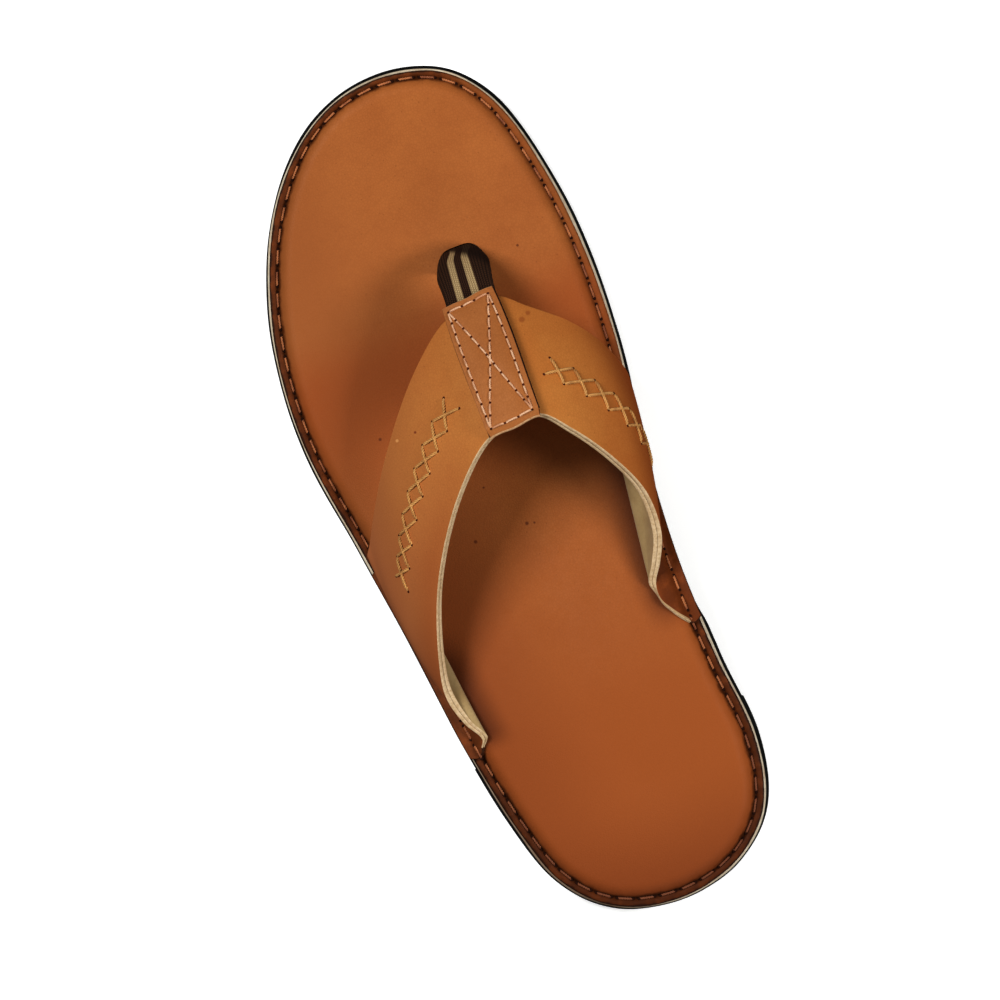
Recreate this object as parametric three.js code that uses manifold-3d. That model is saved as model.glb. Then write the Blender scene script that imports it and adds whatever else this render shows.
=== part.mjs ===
// A left thong slipper in tan leather. A black rubber outsole with a low heel carries a pale board
// midsole and a padded leather footbed. A V-shaped strap is sewn down on the footbed's rim and is held
// between the toes by a webbing loop that comes out from under a leather tab on the strap's ridge.
// Millimetres, +Z up, toe towards +Y, big-toe side towards +X, standing on z = 0.

import * as THREE from "three";
import { mergeVertices } from "three/addons/utils/BufferGeometryUtils.js";
import Module from "manifold-3d";

// Driving dimensions
const LENGTH = 285; // outsole, heel end to toe end
const BALL_WIDTH = 111; // outsole across the toe joints
const INSTEP_HEIGHT = 46; // back edge of the strap's ridge above the footbed
const HEEL_HEIGHT = 10; // underside of the outsole above the floor at the heel
const TOE_SPRING = 9; // underside of the outsole above the floor at the toe end
const GAP = 0.3; // glue line or sewn contact between neighbouring pieces

// Layers of the sole, thickness and inset of their edges from the outline
const OUTSOLE_THICK = 6;
const MIDSOLE_THICK = 2.4;
const RIM_THICK = 1.8; // footbed leather outside its seam
const OUTSOLE_TOP_INSET = 0.9;
const MIDSOLE_INSET = 1.0;
const RIM_INSET = 1.9;
const EDGE_ROUND = 0.5; // broken edge of the layers
const OUTSOLE_BEVEL = 1.0; // bevel round the tread

// Footbed padding: it rises from the seam's crease to its full height
const CREASE_INSET = 4.8;
const PAD_INSET = 9.5;
const PAD_RISE = 3.4;
const PAD_ROUNDNESS = 0.75; // exponent of the shoulder, lower is fuller
const BED_DISH = 1.5; // hollow along the middle of the footbed

// Stations along the sole
const HEEL_FLAT = 68; // outsole stays level back of here
const TREAD_BACK = 150; // the forefoot lies flat on the floor from here
const TREAD_FRONT = 215; // to here, then the toe spring begins
const SPINE_BACK = 42; // ends of the footbed's middle line
const SPINE_FRONT = 236;

// Heel block, flared a little beyond the outsole, with a hollowed breast
const HEEL_FLARE = 1.1;
const BREAST_MEDIAL = 55;
const BREAST_LATERAL = 66;
const BREAST_MIDDLE = 52; // control height of the breast's curve
const HEEL_REACH = 70; // half width of the block that the breast is cut from

// Leather strap with its lining
const FLANGE_THICK = 1.6;
const STRAP_THICK = 2.8;

// Tab and webbing
const TAB_THICK = 1.5;
const TAB_SPAN = 0.95; // tab's half width, as a share of the distance between two folds of the strap
const TAB_BACK = -0.012; // ends of the tab, as shares of the strap's depth
const TAB_FRONT = 1.025;
const WEBBING_WIDTH = 14.4;
const WEBBING_THICK = 1.8;
const LOOP_BACK = 0.06; // webbing's sewn end, as a share of the strap's depth
const LOOP_X = 4.8; // middle of the loop where it enters the footbed
const LOOP_FRONT = 0.776; // loop's inner face there, as a share of the length
const LOOP_BOW = 5; // how far the loop's middle stands forward of its edges
const LOOP_LEAD = 10; // straight lead off the strap
const LOOP_DROP = 15; // upright stretch above the footbed
const SLOT_CLEARANCE = 0.4;

// Fineness
const AROUND = 120; // points round the outline
const STRAP_DEPTH_STEPS = 12; // from the strap's back edge to its front edge
const FOLD_STEPS = 3; // between two folds of the strap
const TAB_STEPS = 10;
const LOOP_ACROSS_STEPS = 8;
const LOOP_ON_STRAP_STEPS = 8;
const LOOP_FREE_STEPS = 12;

// Half widths of the outsole as shares of the ball width, at even turns of a half circle laid along the length
const OUTLINE = [
  { lateral: 0, medial: 0 },
  { lateral: 0.192, medial: 0.19 },
  { lateral: 0.324, medial: 0.328 },
  { lateral: 0.395, medial: 0.377 },
  { lateral: 0.446, medial: 0.355 },
  { lateral: 0.487, medial: 0.344 },
  { lateral: 0.54, medial: 0.365 },
  { lateral: 0.588, medial: 0.404 },
  { lateral: 0.567, medial: 0.408 },
  { lateral: 0.484, medial: 0.371 },
  { lateral: 0.354, medial: 0.306 },
  { lateral: 0.191, medial: 0.186 },
  { lateral: 0, medial: 0 },
];
const TURNS = OUTLINE.length - 1;

// Feet of the strap, from the sole's edge inwards: the sewn flange lies on the footbed's rim, and its last
// fold turns up by a rise. inset is taken from the outline, and tuck is what the medial foot's back end adds
// to it. back and front are shares of the length.
const FLANGE_FOLDS = [
  { inset: 0.8, tuck: 0, rise: 0, lateralBack: 0.235, lateralFront: 0.468, medialBack: 0.297, medialFront: 0.542 },
  { inset: 3.5, tuck: 0, rise: 0, lateralBack: 0.2305, lateralFront: 0.473, medialBack: 0.2925, medialFront: 0.546 },
  { inset: 6.3, tuck: 0.9, rise: 0, lateralBack: 0.2345, lateralFront: 0.477, medialBack: 0.3025, medialFront: 0.55 },
  { inset: 7.0, tuck: 1.8, rise: 0.2, lateralBack: 0.2395, lateralFront: 0.481, medialBack: 0.3135, medialFront: 0.555 },
  { inset: 8.2, tuck: 2.6, rise: 0.8, lateralBack: 0.2475, lateralFront: 0.485, medialBack: 0.329, medialFront: 0.56 },
];

// Folds of the strap from its lateral foot over the ridge to its medial foot. across is a share of the
// half width there, along a share of the length, lift a share of the instep height; crown is the swell
// of the leather between its back and front edges.
const at = (across, along, lift) => ({ across, along, lift });
const STRAP_FOLDS = [
  { back: at(-0.897, 0.275, 0.075), front: at(-0.948, 0.49, 0.065), crown: 1.5 },
  { back: at(-0.9205, 0.3095, 0.185), front: at(-0.898, 0.505, 0.13), crown: 2.5 },
  { back: at(-0.862, 0.348, 0.33), front: at(-0.79, 0.537, 0.24), crown: 2.5 },
  { back: at(-0.643, 0.435, 0.587), front: at(-0.608, 0.589, 0.38), crown: 2.5 },
  { back: at(-0.333, 0.52, 0.826), front: at(-0.32, 0.665, 0.522), crown: 2 },
  { back: at(-0.074, 0.567, 0.967), front: at(-0.082, 0.708, 0.583), crown: 1.5 },
  { back: at(0.094, 0.57, 1.0), front: at(0.077, 0.712, 0.598), crown: 1.5 },
  { back: at(0.295, 0.572, 0.978), front: at(0.269, 0.714, 0.587), crown: 1.5 },
  { back: at(0.492, 0.544, 0.902), front: at(0.447, 0.692, 0.543), crown: 2 },
  { back: at(0.725, 0.499, 0.728), front: at(0.687, 0.66, 0.446), crown: 2 },
  { back: at(0.897, 0.45, 0.511), front: at(0.837, 0.631, 0.337), crown: 2.5 },
  { back: at(0.915, 0.4, 0.295), front: at(0.943, 0.601, 0.217), crown: 2.5 },
  { back: at(0.825, 0.3695, 0.15), front: at(0.994, 0.579, 0.13), crown: 2 },
  { back: at(0.725, 0.347, 0.055), front: at(0.965, 0.565, 0.054), crown: 1 },
];
const RIDGE_FOLD = 6; // the tab lies along this fold
const SKIVED_FOLDS = 3; // folds over which a foot grows to the strap's full thickness

// Heights above the underside of the outsole
const MIDSOLE_LIFT = OUTSOLE_THICK + GAP;
const FOOTBED_LIFT = MIDSOLE_LIFT + MIDSOLE_THICK + GAP;
const RIM_LIFT = FOOTBED_LIFT + RIM_THICK;
const PAD_LIFT = RIM_LIFT + PAD_RISE;

// Underside of the outsole: level over the heel, down through the waist, flat at the ball, up at the toe
function soleRise(y) {
  const waist = THREE.MathUtils.smoothstep(y, HEEL_FLAT, TREAD_BACK);
  const spring = Math.max(0, (y - TREAD_FRONT) / (LENGTH - TREAD_FRONT));
  return HEEL_HEIGHT * (1 - waist) + TOE_SPRING * spring ** 2;
}

// One side of the outline. A mirrored row past each end lets the two sides close in a round end.
function sideCurve(side) {
  const shares = OUTLINE.map((row) => row[side]);
  const mirrored = [-shares[1], ...shares, -shares[TURNS - 1]];
  return new THREE.SplineCurve(mirrored.map((share, turn) => new THREE.Vector2(turn, share * BALL_WIDTH)));
}

const SIDE_CURVES = { lateral: sideCurve("lateral"), medial: sideCurve("medial") };

function halfWidth(side, turn) {
  return SIDE_CURVES[side].getPoint((turn + 1) / (TURNS + 2)).y;
}

function turnAt(y) {
  return (TURNS * Math.acos(1 - (2 * y) / LENGTH)) / Math.PI;
}

// Point of the outline: the step runs from the heel end up the medial side and back down the lateral side
function edgeAt(step) {
  const wrapped = THREE.MathUtils.euclideanModulo(step, AROUND);
  const medial = wrapped <= AROUND / 2;
  const turn = TURNS * (1 - Math.abs(1 - (2 * wrapped) / AROUND));
  const x = medial ? halfWidth("medial", turn) : -halfWidth("lateral", turn);
  const y = (LENGTH / 2) * (1 - Math.cos((Math.PI * turn) / TURNS));
  return new THREE.Vector2(x, y);
}

// Point set in from the outline along its inward normal
function insetAt(step, inset) {
  const reach = 0.05; // share of a step over which the tangent is taken
  const tangent = edgeAt(step + reach).sub(edgeAt(step - reach)).normalize();
  const inward = new THREE.Vector2(-tangent.y, tangent.x);
  return edgeAt(step).addScaledVector(inward, inset);
}

function stepAt(side, y) {
  const step = (turnAt(y) / TURNS) * (AROUND / 2);
  return side === "medial" ? step : AROUND - step;
}

// Closed loop round the sole at an inset, lifted above the underside of the outsole
function ring(inset, lift) {
  return Array.from({ length: AROUND }, (_, step) => {
    const { x, y } = insetAt(step, inset);
    return new THREE.Vector3(x, y, soleRise(y) + lift);
  });
}

function facetedGeometry(points, triangles) {
  const geometry = new THREE.BufferGeometry().setFromPoints(points);
  geometry.setIndex(triangles);
  geometry.computeVertexNormals();
  return geometry;
}

// Collects quads as triangles, and drops the half of a quad that has no area
function quadList() {
  const triangles = [];
  const triangle = (a, b, c) => {
    if (a !== b && b !== c && c !== a) {
      triangles.push(a, b, c);
    }
  };
  const quad = (a, b, c, d) => {
    triangle(a, b, c);
    triangle(a, c, d);
  };
  return { triangles, quad };
}

// Solid skinned over loops that run from its underside, round its edge, to its top. The first and the
// last loop are closed by strips from the medial to the lateral side.
function skin(loops) {
  const count = loops[0].length;
  const { triangles, quad } = quadList();
  for (let row = 0; row + 1 < loops.length; row++) {
    for (let j = 0; j < count; j++) {
      const next = (j + 1) % count;
      quad(row * count + j, row * count + next, (row + 1) * count + next, (row + 1) * count + j);
    }
  }
  const top = (loops.length - 1) * count;
  for (let j = 0; j < count / 2; j++) {
    const across = (count - j) % count;
    const acrossNext = count - j - 1;
    quad(across, acrossNext, j + 1, j);
    quad(top + j, top + j + 1, top + acrossNext, top + across);
  }
  return facetedGeometry(loops.flat(), triangles);
}

// Solid from a grid of surface points, thickened along the surface normal: from `under` below the grid
// to `over` above it, each given as a function of the grid's row and column.
function thickSheet(grid, under, over) {
  const rows = grid.length;
  const columns = grid[0].length;
  const normalAt = (i, j) => {
    const across = grid[Math.min(i + 1, rows - 1)][j].clone().sub(grid[Math.max(i - 1, 0)][j]);
    const along = grid[i][Math.min(j + 1, columns - 1)].clone().sub(grid[i][Math.max(j - 1, 0)]);
    return across.cross(along).normalize();
  };
  const layer = (distance) =>
    grid.flatMap((line, i) => line.map((p, j) => p.clone().addScaledVector(normalAt(i, j), distance(i, j))));
  const points = [...layer(over), ...layer((i, j) => -under(i, j))];
  const top = (i, j) => i * columns + j;
  const bottom = (i, j) => rows * columns + top(i, j);
  const { triangles, quad } = quadList();
  for (let i = 0; i + 1 < rows; i++) {
    for (let j = 0; j + 1 < columns; j++) {
      quad(top(i, j), top(i + 1, j), top(i + 1, j + 1), top(i, j + 1));
      quad(bottom(i, j + 1), bottom(i + 1, j + 1), bottom(i + 1, j), bottom(i, j));
    }
    quad(bottom(i, 0), bottom(i + 1, 0), top(i + 1, 0), top(i, 0));
    quad(top(i, columns - 1), top(i + 1, columns - 1), bottom(i + 1, columns - 1), bottom(i, columns - 1));
  }
  for (let j = 0; j + 1 < columns; j++) {
    quad(top(0, j), top(0, j + 1), bottom(0, j + 1), bottom(0, j));
    quad(bottom(rows - 1, j), bottom(rows - 1, j + 1), top(rows - 1, j + 1), top(rows - 1, j));
  }
  return facetedGeometry(points, triangles);
}

// Exact solids for cutting
const wasm = await Module();
wasm.setup();

function toSolid(geometry) {
  const bare = new THREE.BufferGeometry().setAttribute("position", geometry.getAttribute("position"));
  bare.setIndex(geometry.getIndex());
  const merged = mergeVertices(bare);
  const vertProperties = new Float32Array(merged.getAttribute("position").array);
  const triVerts = new Uint32Array(merged.getIndex().array);
  return new wasm.Manifold(new wasm.Mesh({ numProp: 3, vertProperties, triVerts }));
}

function toGeometry(solid) {
  const { vertProperties, triVerts } = solid.getMesh();
  const geometry = new THREE.BufferGeometry();
  geometry.setAttribute("position", new THREE.Float32BufferAttribute(vertProperties, 3));
  geometry.setIndex(Array.from(triVerts));
  geometry.computeVertexNormals();
  return geometry;
}

// Black rubber heel: the outline's back end as a flared block, cut off at the breast
function heelGeometry() {
  const top = HEEL_HEIGHT - GAP;
  const levels = [
    { inset: EDGE_ROUND - HEEL_FLARE, z: 0 },
    { inset: -HEEL_FLARE, z: EDGE_ROUND },
    { inset: OUTSOLE_BEVEL, z: top },
  ];
  const block = skin(levels.map(({ inset, z }) => ring(inset, 0).map((p) => p.setZ(z))));
  const breast = new THREE.Shape();
  breast.moveTo(-HEEL_REACH, -HEEL_REACH);
  breast.lineTo(HEEL_REACH, -HEEL_REACH);
  breast.lineTo(HEEL_REACH, BREAST_MEDIAL);
  breast.quadraticCurveTo(0, BREAST_MIDDLE, -HEEL_REACH, BREAST_LATERAL);
  const cutter = new THREE.ExtrudeGeometry(breast, { depth: HEEL_HEIGHT * 2, bevelEnabled: false });
  cutter.translate(0, 0, -HEEL_HEIGHT / 2);
  return toGeometry(toSolid(block).intersect(toSolid(cutter)));
}

// Black rubber outsole with a bevelled tread edge
function outsoleGeometry() {
  return skin([
    ring(OUTSOLE_BEVEL, 0),
    ring(0, OUTSOLE_BEVEL),
    ring(OUTSOLE_TOP_INSET, OUTSOLE_THICK),
  ]);
}

// Pale board midsole
function midsoleGeometry() {
  return skin([
    ring(MIDSOLE_INSET, MIDSOLE_LIFT),
    ring(MIDSOLE_INSET, MIDSOLE_LIFT + MIDSOLE_THICK),
  ]);
}

// Height of the footbed above its rim at an inset from the outline
function padRise(inset) {
  const share = THREE.MathUtils.clamp((inset - CREASE_INSET) / (PAD_INSET - CREASE_INSET), 0, 1);
  return PAD_RISE * (1 - (1 - share) ** 2) ** PAD_ROUNDNESS;
}

// Loop on the padding, drawn in from its shoulder towards the footbed's middle line
function padRing(share) {
  return Array.from({ length: AROUND }, (_, step) => {
    const shoulder = insetAt(step, PAD_INSET);
    const middleY = THREE.MathUtils.clamp(shoulder.y, SPINE_BACK, SPINE_FRONT);
    const turn = turnAt(middleY);
    const middleX = (halfWidth("medial", turn) - halfWidth("lateral", turn)) / 2;
    const { x, y } = shoulder.lerp(new THREE.Vector2(middleX, middleY), share);
    return new THREE.Vector3(x, y, soleRise(y) + PAD_LIFT - BED_DISH * share ** 2);
  });
}

// Leather footbed: flat rim, crease at the seam, padded top, and the slot that the webbing goes through
function footbedGeometry() {
  const shoulderInsets = [CREASE_INSET, 5.3, 6.1, 7.4, PAD_INSET];
  const padShares = [0.35, 0.7, 0.94];
  const body = skin([
    ring(RIM_INSET, FOOTBED_LIFT),
    ring(RIM_INSET, RIM_LIFT - EDGE_ROUND),
    ring(RIM_INSET + EDGE_ROUND, RIM_LIFT),
    ...shoulderInsets.map((inset) => ring(inset, RIM_LIFT + padRise(inset))),
    ...padShares.map(padRing),
  ]);
  return toGeometry(toSolid(body).subtract(toSolid(slotGeometry())));
}

// A fold of the flange follows the outline. Its outer face lies a gap and a thickness off the footbed,
// square to the footbed's own profile.
function flangeLine(side, fold) {
  const reach = 0.1;
  return (depth) => {
    const inset = fold.inset + (side === "medial" ? fold.tuck * (1 - depth) ** 3 : 0);
    const slope = (padRise(inset + reach) - padRise(inset - reach)) / (2 * reach);
    const offset = new THREE.Vector2(-slope, 1).setLength(GAP + FLANGE_THICK);
    const along = THREE.MathUtils.lerp(fold[`${side}Back`], fold[`${side}Front`], depth);
    const { x, y } = insetAt(stepAt(side, along * LENGTH), inset + offset.x);
    return new THREE.Vector3(x, y, soleRise(y) + RIM_LIFT + padRise(inset) + offset.y + fold.rise);
  };
}

// A free fold runs from the strap's back edge to its front edge with a swell between them
function foldLine({ back, front, crown }) {
  const corner = ({ across, along, lift }) => {
    const y = along * LENGTH;
    const x = across * halfWidth(across < 0 ? "lateral" : "medial", turnAt(y));
    return new THREE.Vector3(x, y, soleRise(y) + PAD_LIFT + GAP + lift * INSTEP_HEIGHT);
  };
  return (depth) => {
    const slope = (Math.PI / 2) * THREE.MathUtils.lerp(back.lift, front.lift, depth);
    const swell = crown * 4 * depth * (1 - depth);
    const outward = new THREE.Vector3(Math.sign(back.across) * Math.cos(slope), 0, Math.sin(slope));
    return corner(back).lerp(corner(front), depth).addScaledVector(outward, swell);
  };
}

const STRAP_LINES = [
  ...FLANGE_FOLDS.map((fold) => flangeLine("lateral", fold)),
  ...STRAP_FOLDS.map(foldLine),
  ...FLANGE_FOLDS.map((fold) => flangeLine("medial", fold)).reverse(),
];
const LAST_LINE = STRAP_LINES.length - 1;
const FIRST_FREE = FLANGE_FOLDS.length - 2; // innermost sewn fold of the lateral foot
const LAST_FREE = LAST_LINE - FIRST_FREE;

// Outer face of the strap: `line` counts its folds, `depth` runs from the back edge to the front edge
function strapAt(line, depth) {
  const section = new THREE.CatmullRomCurve3(STRAP_LINES.map((lineAt) => lineAt(depth)));
  return section.getPoint(line / LAST_LINE);
}

function spread(first, last, steps) {
  return Array.from({ length: steps + 1 }, (_, i) => THREE.MathUtils.lerp(first, last, i / steps));
}

// Strap: one wall of leather and lining, open at the front and back and underneath
function strapGeometry() {
  const flange = spread(0, FIRST_FREE - 1, FIRST_FREE - 1);
  const free = spread(FIRST_FREE, LAST_FREE, (LAST_FREE - FIRST_FREE) * FOLD_STEPS);
  const lines = [...flange, ...free, ...flange.map((line) => LAST_LINE - line).reverse()];
  const depths = spread(0, 1, STRAP_DEPTH_STEPS);
  const grid = lines.map((line) => depths.map((depth) => strapAt(line, depth)));
  const wall = (i) => {
    const inFromFoot = Math.min(lines[i], LAST_LINE - lines[i]) - FIRST_FREE;
    return THREE.MathUtils.lerp(FLANGE_THICK, STRAP_THICK, THREE.MathUtils.clamp(inFromFoot / SKIVED_FOLDS, 0, 1));
  };
  return thickSheet(grid, wall, () => 0);
}

const RIDGE_LINE = FLANGE_FOLDS.length + RIDGE_FOLD;

// Tab: lies on the webbing along the ridge and comes down to the strap at its long edges
function tabGeometry() {
  const shoulder = 0.92; // share of the half width that is held up by the webbing
  const shares = [-1, -0.97, -shoulder, ...spread(-0.6, 0.6, 4), shoulder, 0.97, 1];
  const depths = spread(TAB_BACK, TAB_FRONT, TAB_STEPS);
  const line = (share) => RIDGE_LINE + share * TAB_SPAN;
  const grid = shares.map((share) => depths.map((depth) => strapAt(line(share), depth)));
  const onWebbing = GAP + WEBBING_THICK + GAP;
  const seat = (i) => {
    const down = THREE.MathUtils.smoothstep(Math.abs(shares[i]), shoulder, 1);
    return THREE.MathUtils.lerp(onWebbing, GAP, down);
  };
  return thickSheet(grid, (i) => -seat(i), (i) => seat(i) + TAB_THICK);
}

// Place on the footbed where the loop goes in, across from -1 at its lateral to 1 at its medial edge
function loopEntry(across) {
  const x = LOOP_X + (across * WEBBING_WIDTH) / 2;
  const y = LOOP_FRONT * LENGTH - LOOP_BOW * across ** 2;
  return new THREE.Vector3(x, y, soleRise(y) + PAD_LIFT);
}

// Inner face of the webbing along one lengthwise line: on the strap, over its front edge, down to the slot
function loopLine(across) {
  const foldWidth = strapAt(RIDGE_LINE, 1).distanceTo(strapAt(RIDGE_LINE + 1, 1));
  const line = RIDGE_LINE + (across * WEBBING_WIDTH) / 2 / foldWidth;
  const onStrap = spread(LOOP_BACK, 1, LOOP_ON_STRAP_STEPS).map((depth) => strapAt(line, depth));
  const edge = onStrap[onStrap.length - 1];
  const lead = edge.clone().sub(onStrap[onStrap.length - 2]).setLength(LOOP_LEAD).add(edge);
  const entry = loopEntry(across);
  const above = entry.clone().setZ(entry.z + LOOP_DROP);
  const free = new THREE.CubicBezierCurve3(edge, lead, above, entry).getPoints(LOOP_FREE_STEPS).slice(1);
  const end = entry.clone().setZ(soleRise(entry.y) + FOOTBED_LIFT);
  return [...onStrap, ...free, end];
}

// Webbing loop: one ribbon from the tab to the slot
function loopGeometry() {
  const grid = spread(-1, 1, LOOP_ACROSS_STEPS).map(loopLine);
  return thickSheet(grid, () => -GAP, () => GAP + WEBBING_THICK);
}

// The slot follows the webbing's bowed section with a clearance all round, through the whole footbed
function slotGeometry() {
  const reach = 1 + (2 * SLOT_CLEARANCE) / WEBBING_WIDTH;
  const lower = (p) => p.clone().setZ(soleRise(p.y));
  const upper = (p) => p.clone().setZ(p.z + PAD_RISE);
  const grid = spread(-reach, reach, LOOP_ACROSS_STEPS).map((across) => {
    const entry = loopEntry(across);
    return [upper(entry), lower(entry)];
  });
  const inner = SLOT_CLEARANCE - GAP;
  return thickSheet(grid, () => inner, () => GAP + WEBBING_THICK + SLOT_CLEARANCE);
}

const PIECES = [
  { name: "heel", geometry: heelGeometry(), color: 0x191614, roughness: 0.8 },
  { name: "outsole", geometry: outsoleGeometry(), color: 0x1d1a17, roughness: 0.75 },
  { name: "midsole", geometry: midsoleGeometry(), color: 0xc9b48f, roughness: 0.85 },
  { name: "footbed", geometry: footbedGeometry(), color: 0xb06a32, roughness: 0.5 },
  { name: "strap", geometry: strapGeometry(), color: 0xb8702f, roughness: 0.48 },
  { name: "tab", geometry: tabGeometry(), color: 0xb8702f, roughness: 0.48 },
  { name: "toe_loop", geometry: loopGeometry(), color: 0x2e221b, roughness: 0.9 },
];

const slipper = new THREE.Group();
for (const { name, geometry, color, roughness } of PIECES) {
  const mesh = new THREE.Mesh(geometry, new THREE.MeshStandardMaterial({ color, roughness, metalness: 0 }));
  mesh.name = name;
  slipper.add(mesh);
}

// The origin is the middle of the footprint, on the floor
const box = new THREE.Box3().setFromObject(slipper);
const middle = box.getCenter(new THREE.Vector3());
slipper.position.set(-middle.x, -middle.y, -box.min.z);

export default slipper;
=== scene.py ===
import math

import bpy
import numpy as np
from mathutils import Matrix, Vector


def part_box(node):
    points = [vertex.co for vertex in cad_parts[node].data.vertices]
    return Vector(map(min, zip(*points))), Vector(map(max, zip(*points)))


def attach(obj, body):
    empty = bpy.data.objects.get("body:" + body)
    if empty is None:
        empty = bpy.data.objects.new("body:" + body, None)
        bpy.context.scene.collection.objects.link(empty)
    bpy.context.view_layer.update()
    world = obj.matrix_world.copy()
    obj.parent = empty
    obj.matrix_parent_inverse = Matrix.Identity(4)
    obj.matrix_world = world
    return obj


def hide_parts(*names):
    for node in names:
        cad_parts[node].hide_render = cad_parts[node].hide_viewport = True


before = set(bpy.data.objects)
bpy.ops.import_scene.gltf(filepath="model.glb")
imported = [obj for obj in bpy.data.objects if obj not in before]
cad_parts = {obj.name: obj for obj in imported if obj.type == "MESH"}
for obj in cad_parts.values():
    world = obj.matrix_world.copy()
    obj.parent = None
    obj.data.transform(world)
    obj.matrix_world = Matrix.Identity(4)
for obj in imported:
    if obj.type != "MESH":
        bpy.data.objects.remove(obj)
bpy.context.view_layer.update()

# Heel: a low block of black moulded rubber, glued under the back of the outsole. It flares towards the
# floor, least on its inner side, its breast is hollowed, and fine ribs cross its underside.
MM = 0.001
HEEL_HEIGHT = 10.0
HEEL_GLUE_LINE = 0.3
HEEL_TOP = HEEL_HEIGHT - HEEL_GLUE_LINE
HEEL_TOP_INSET = 1.0
HEEL_FLARE = 1.1
HEEL_FLARE_INNER = 0.25
INNER_SIDE_STEP = 0.07
HEEL_STEPS = 72
BREAST_STEPS = 48
BREAST_REACH = 70.0
BREAST_MEDIAL = 55.0
BREAST_MIDDLE = 52.0
BREAST_LATERAL = 66.0
RUBBER_BLACK = (9, 8, 7)
RUBBER_WORN = (24, 22, 20)
TREAD_RIB_PITCH = 2.6

# Levels of the block: inset from the outline, whether the flare is added, and height above the floor
HEEL_LEVELS = (
    (0.9, 1, 0.0),
    (0.35, 1, 0.12),
    (0.0, 1, 0.7),
    (HEEL_TOP_INSET - 0.1, 0, HEEL_TOP - 0.6),
    (HEEL_TOP_INSET + 0.3, 0, HEEL_TOP),
)

# Half widths of the sole as shares of its ball width, at even turns of a half circle laid along its length
BALL_WIDTH = 111.0
LATERAL_SHARES = (0, 0.192, 0.324, 0.395, 0.446, 0.487, 0.54, 0.588, 0.567, 0.484, 0.354, 0.191, 0)
MEDIAL_SHARES = (0, 0.19, 0.328, 0.377, 0.355, 0.344, 0.365, 0.404, 0.408, 0.371, 0.306, 0.186, 0)
TURNS = len(MEDIAL_SHARES) - 1


def side_width(shares, turn):
    """Half width of one side of the sole; a mirrored row past each end closes it in a round end."""
    rows = np.array([-shares[1], *shares, -shares[-2]]) * BALL_WIDTH
    turn = np.asarray(turn, dtype=float)
    row = np.clip(np.floor(turn).astype(int), 0, TURNS - 1)
    part = turn - row
    before, here, after, later = (rows[row + ahead] for ahead in range(4))
    square = 2 * before - 5 * here + 4 * after - later
    cube = 3 * here - before - 3 * after + later
    return 0.5 * (2 * here + (after - before) * part + square * part**2 + cube * part**3)


outsole_low, outsole_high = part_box("outsole")
LENGTH = (outsole_high.y - outsole_low.y) / MM
WIDEST_MEDIAL = side_width(MEDIAL_SHARES, np.linspace(0, TURNS, 2000)).max()
FRAME_SHIFT = np.array([outsole_high.x / MM - WIDEST_MEDIAL, outsole_low.y / MM, 0.0])


def unit(vectors):
    """Vectors of length one."""
    return vectors / np.linalg.norm(vectors, axis=-1, keepdims=True)


def smooth_step(value, low, high):
    """Smooth rise from 0 to 1 between two values."""
    part = np.clip((value - low) / (high - low), 0, 1)
    return part * part * (3 - 2 * part)


def sole_edge(step):
    """Outline in plan: steps 0 to 1 run from the heel end up the medial side and down the lateral side."""
    step = np.mod(step, 1.0)
    turn = TURNS * (1 - np.abs(1 - 2 * step))
    across = np.where(step <= 0.5, side_width(MEDIAL_SHARES, turn), -side_width(LATERAL_SHARES, turn))
    return np.stack([across, LENGTH / 2 * (1 - np.cos(np.pi * turn / TURNS))], axis=-1)


def sole_inset(step, inset):
    """Outline set in along its inward normal."""
    reach = 4e-4
    tangent = unit(sole_edge(step + reach) - sole_edge(step - reach))
    inward = np.stack([-tangent[..., 1], tangent[..., 0]], axis=-1)
    return sole_edge(step) + inward * np.broadcast_to(inset, np.shape(step))[..., None]


def add_piece(name, points, faces, materials, face_materials=None, sharp_angle=50):
    """Mesh object from points in millimetres, heel end at y = 0, moved into the frame's own metres."""
    mesh = bpy.data.meshes.new(name)
    mesh.from_pydata(((points + FRAME_SHIFT) * MM).tolist(), [], faces)
    for material in materials:
        mesh.materials.append(material)
    if face_materials is not None:
        mesh.polygons.foreach_set("material_index", np.asarray(face_materials, dtype=np.int32))
    mesh.shade_smooth()
    mesh.set_sharp_from_angle(angle=math.radians(sharp_angle))
    piece = bpy.data.objects.new(name, mesh)
    bpy.context.scene.collection.objects.link(piece)
    return piece


def srgb(colour):
    """Scene-linear colour with alpha from an 8-bit display colour."""
    share = np.array(colour) / 255
    linear = np.where(share <= 0.04045, share / 12.92, ((share + 0.055) / 1.055) ** 2.4)
    return (*linear, 1.0)


def add_node(tree, kind, inputs=None, **settings):
    """Adds a node, makes its settings, and sets or links its inputs by name or place."""
    made = tree.nodes.new(kind)
    for key, value in settings.items():
        setattr(made, key, value)
    for key, value in (inputs or {}).items():
        if isinstance(value, bpy.types.NodeSocket):
            tree.links.new(value, made.inputs[key])
        else:
            made.inputs[key].default_value = value
    return made


def add_math(tree, operation, *values):
    """Result of a maths node on one or two values or sockets."""
    return add_node(tree, "ShaderNodeMath", dict(enumerate(values)), operation=operation).outputs[0]


def add_vector(tree, operation, inputs):
    """Results of a vector maths node."""
    return add_node(tree, "ShaderNodeVectorMath", inputs, operation=operation).outputs


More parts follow.
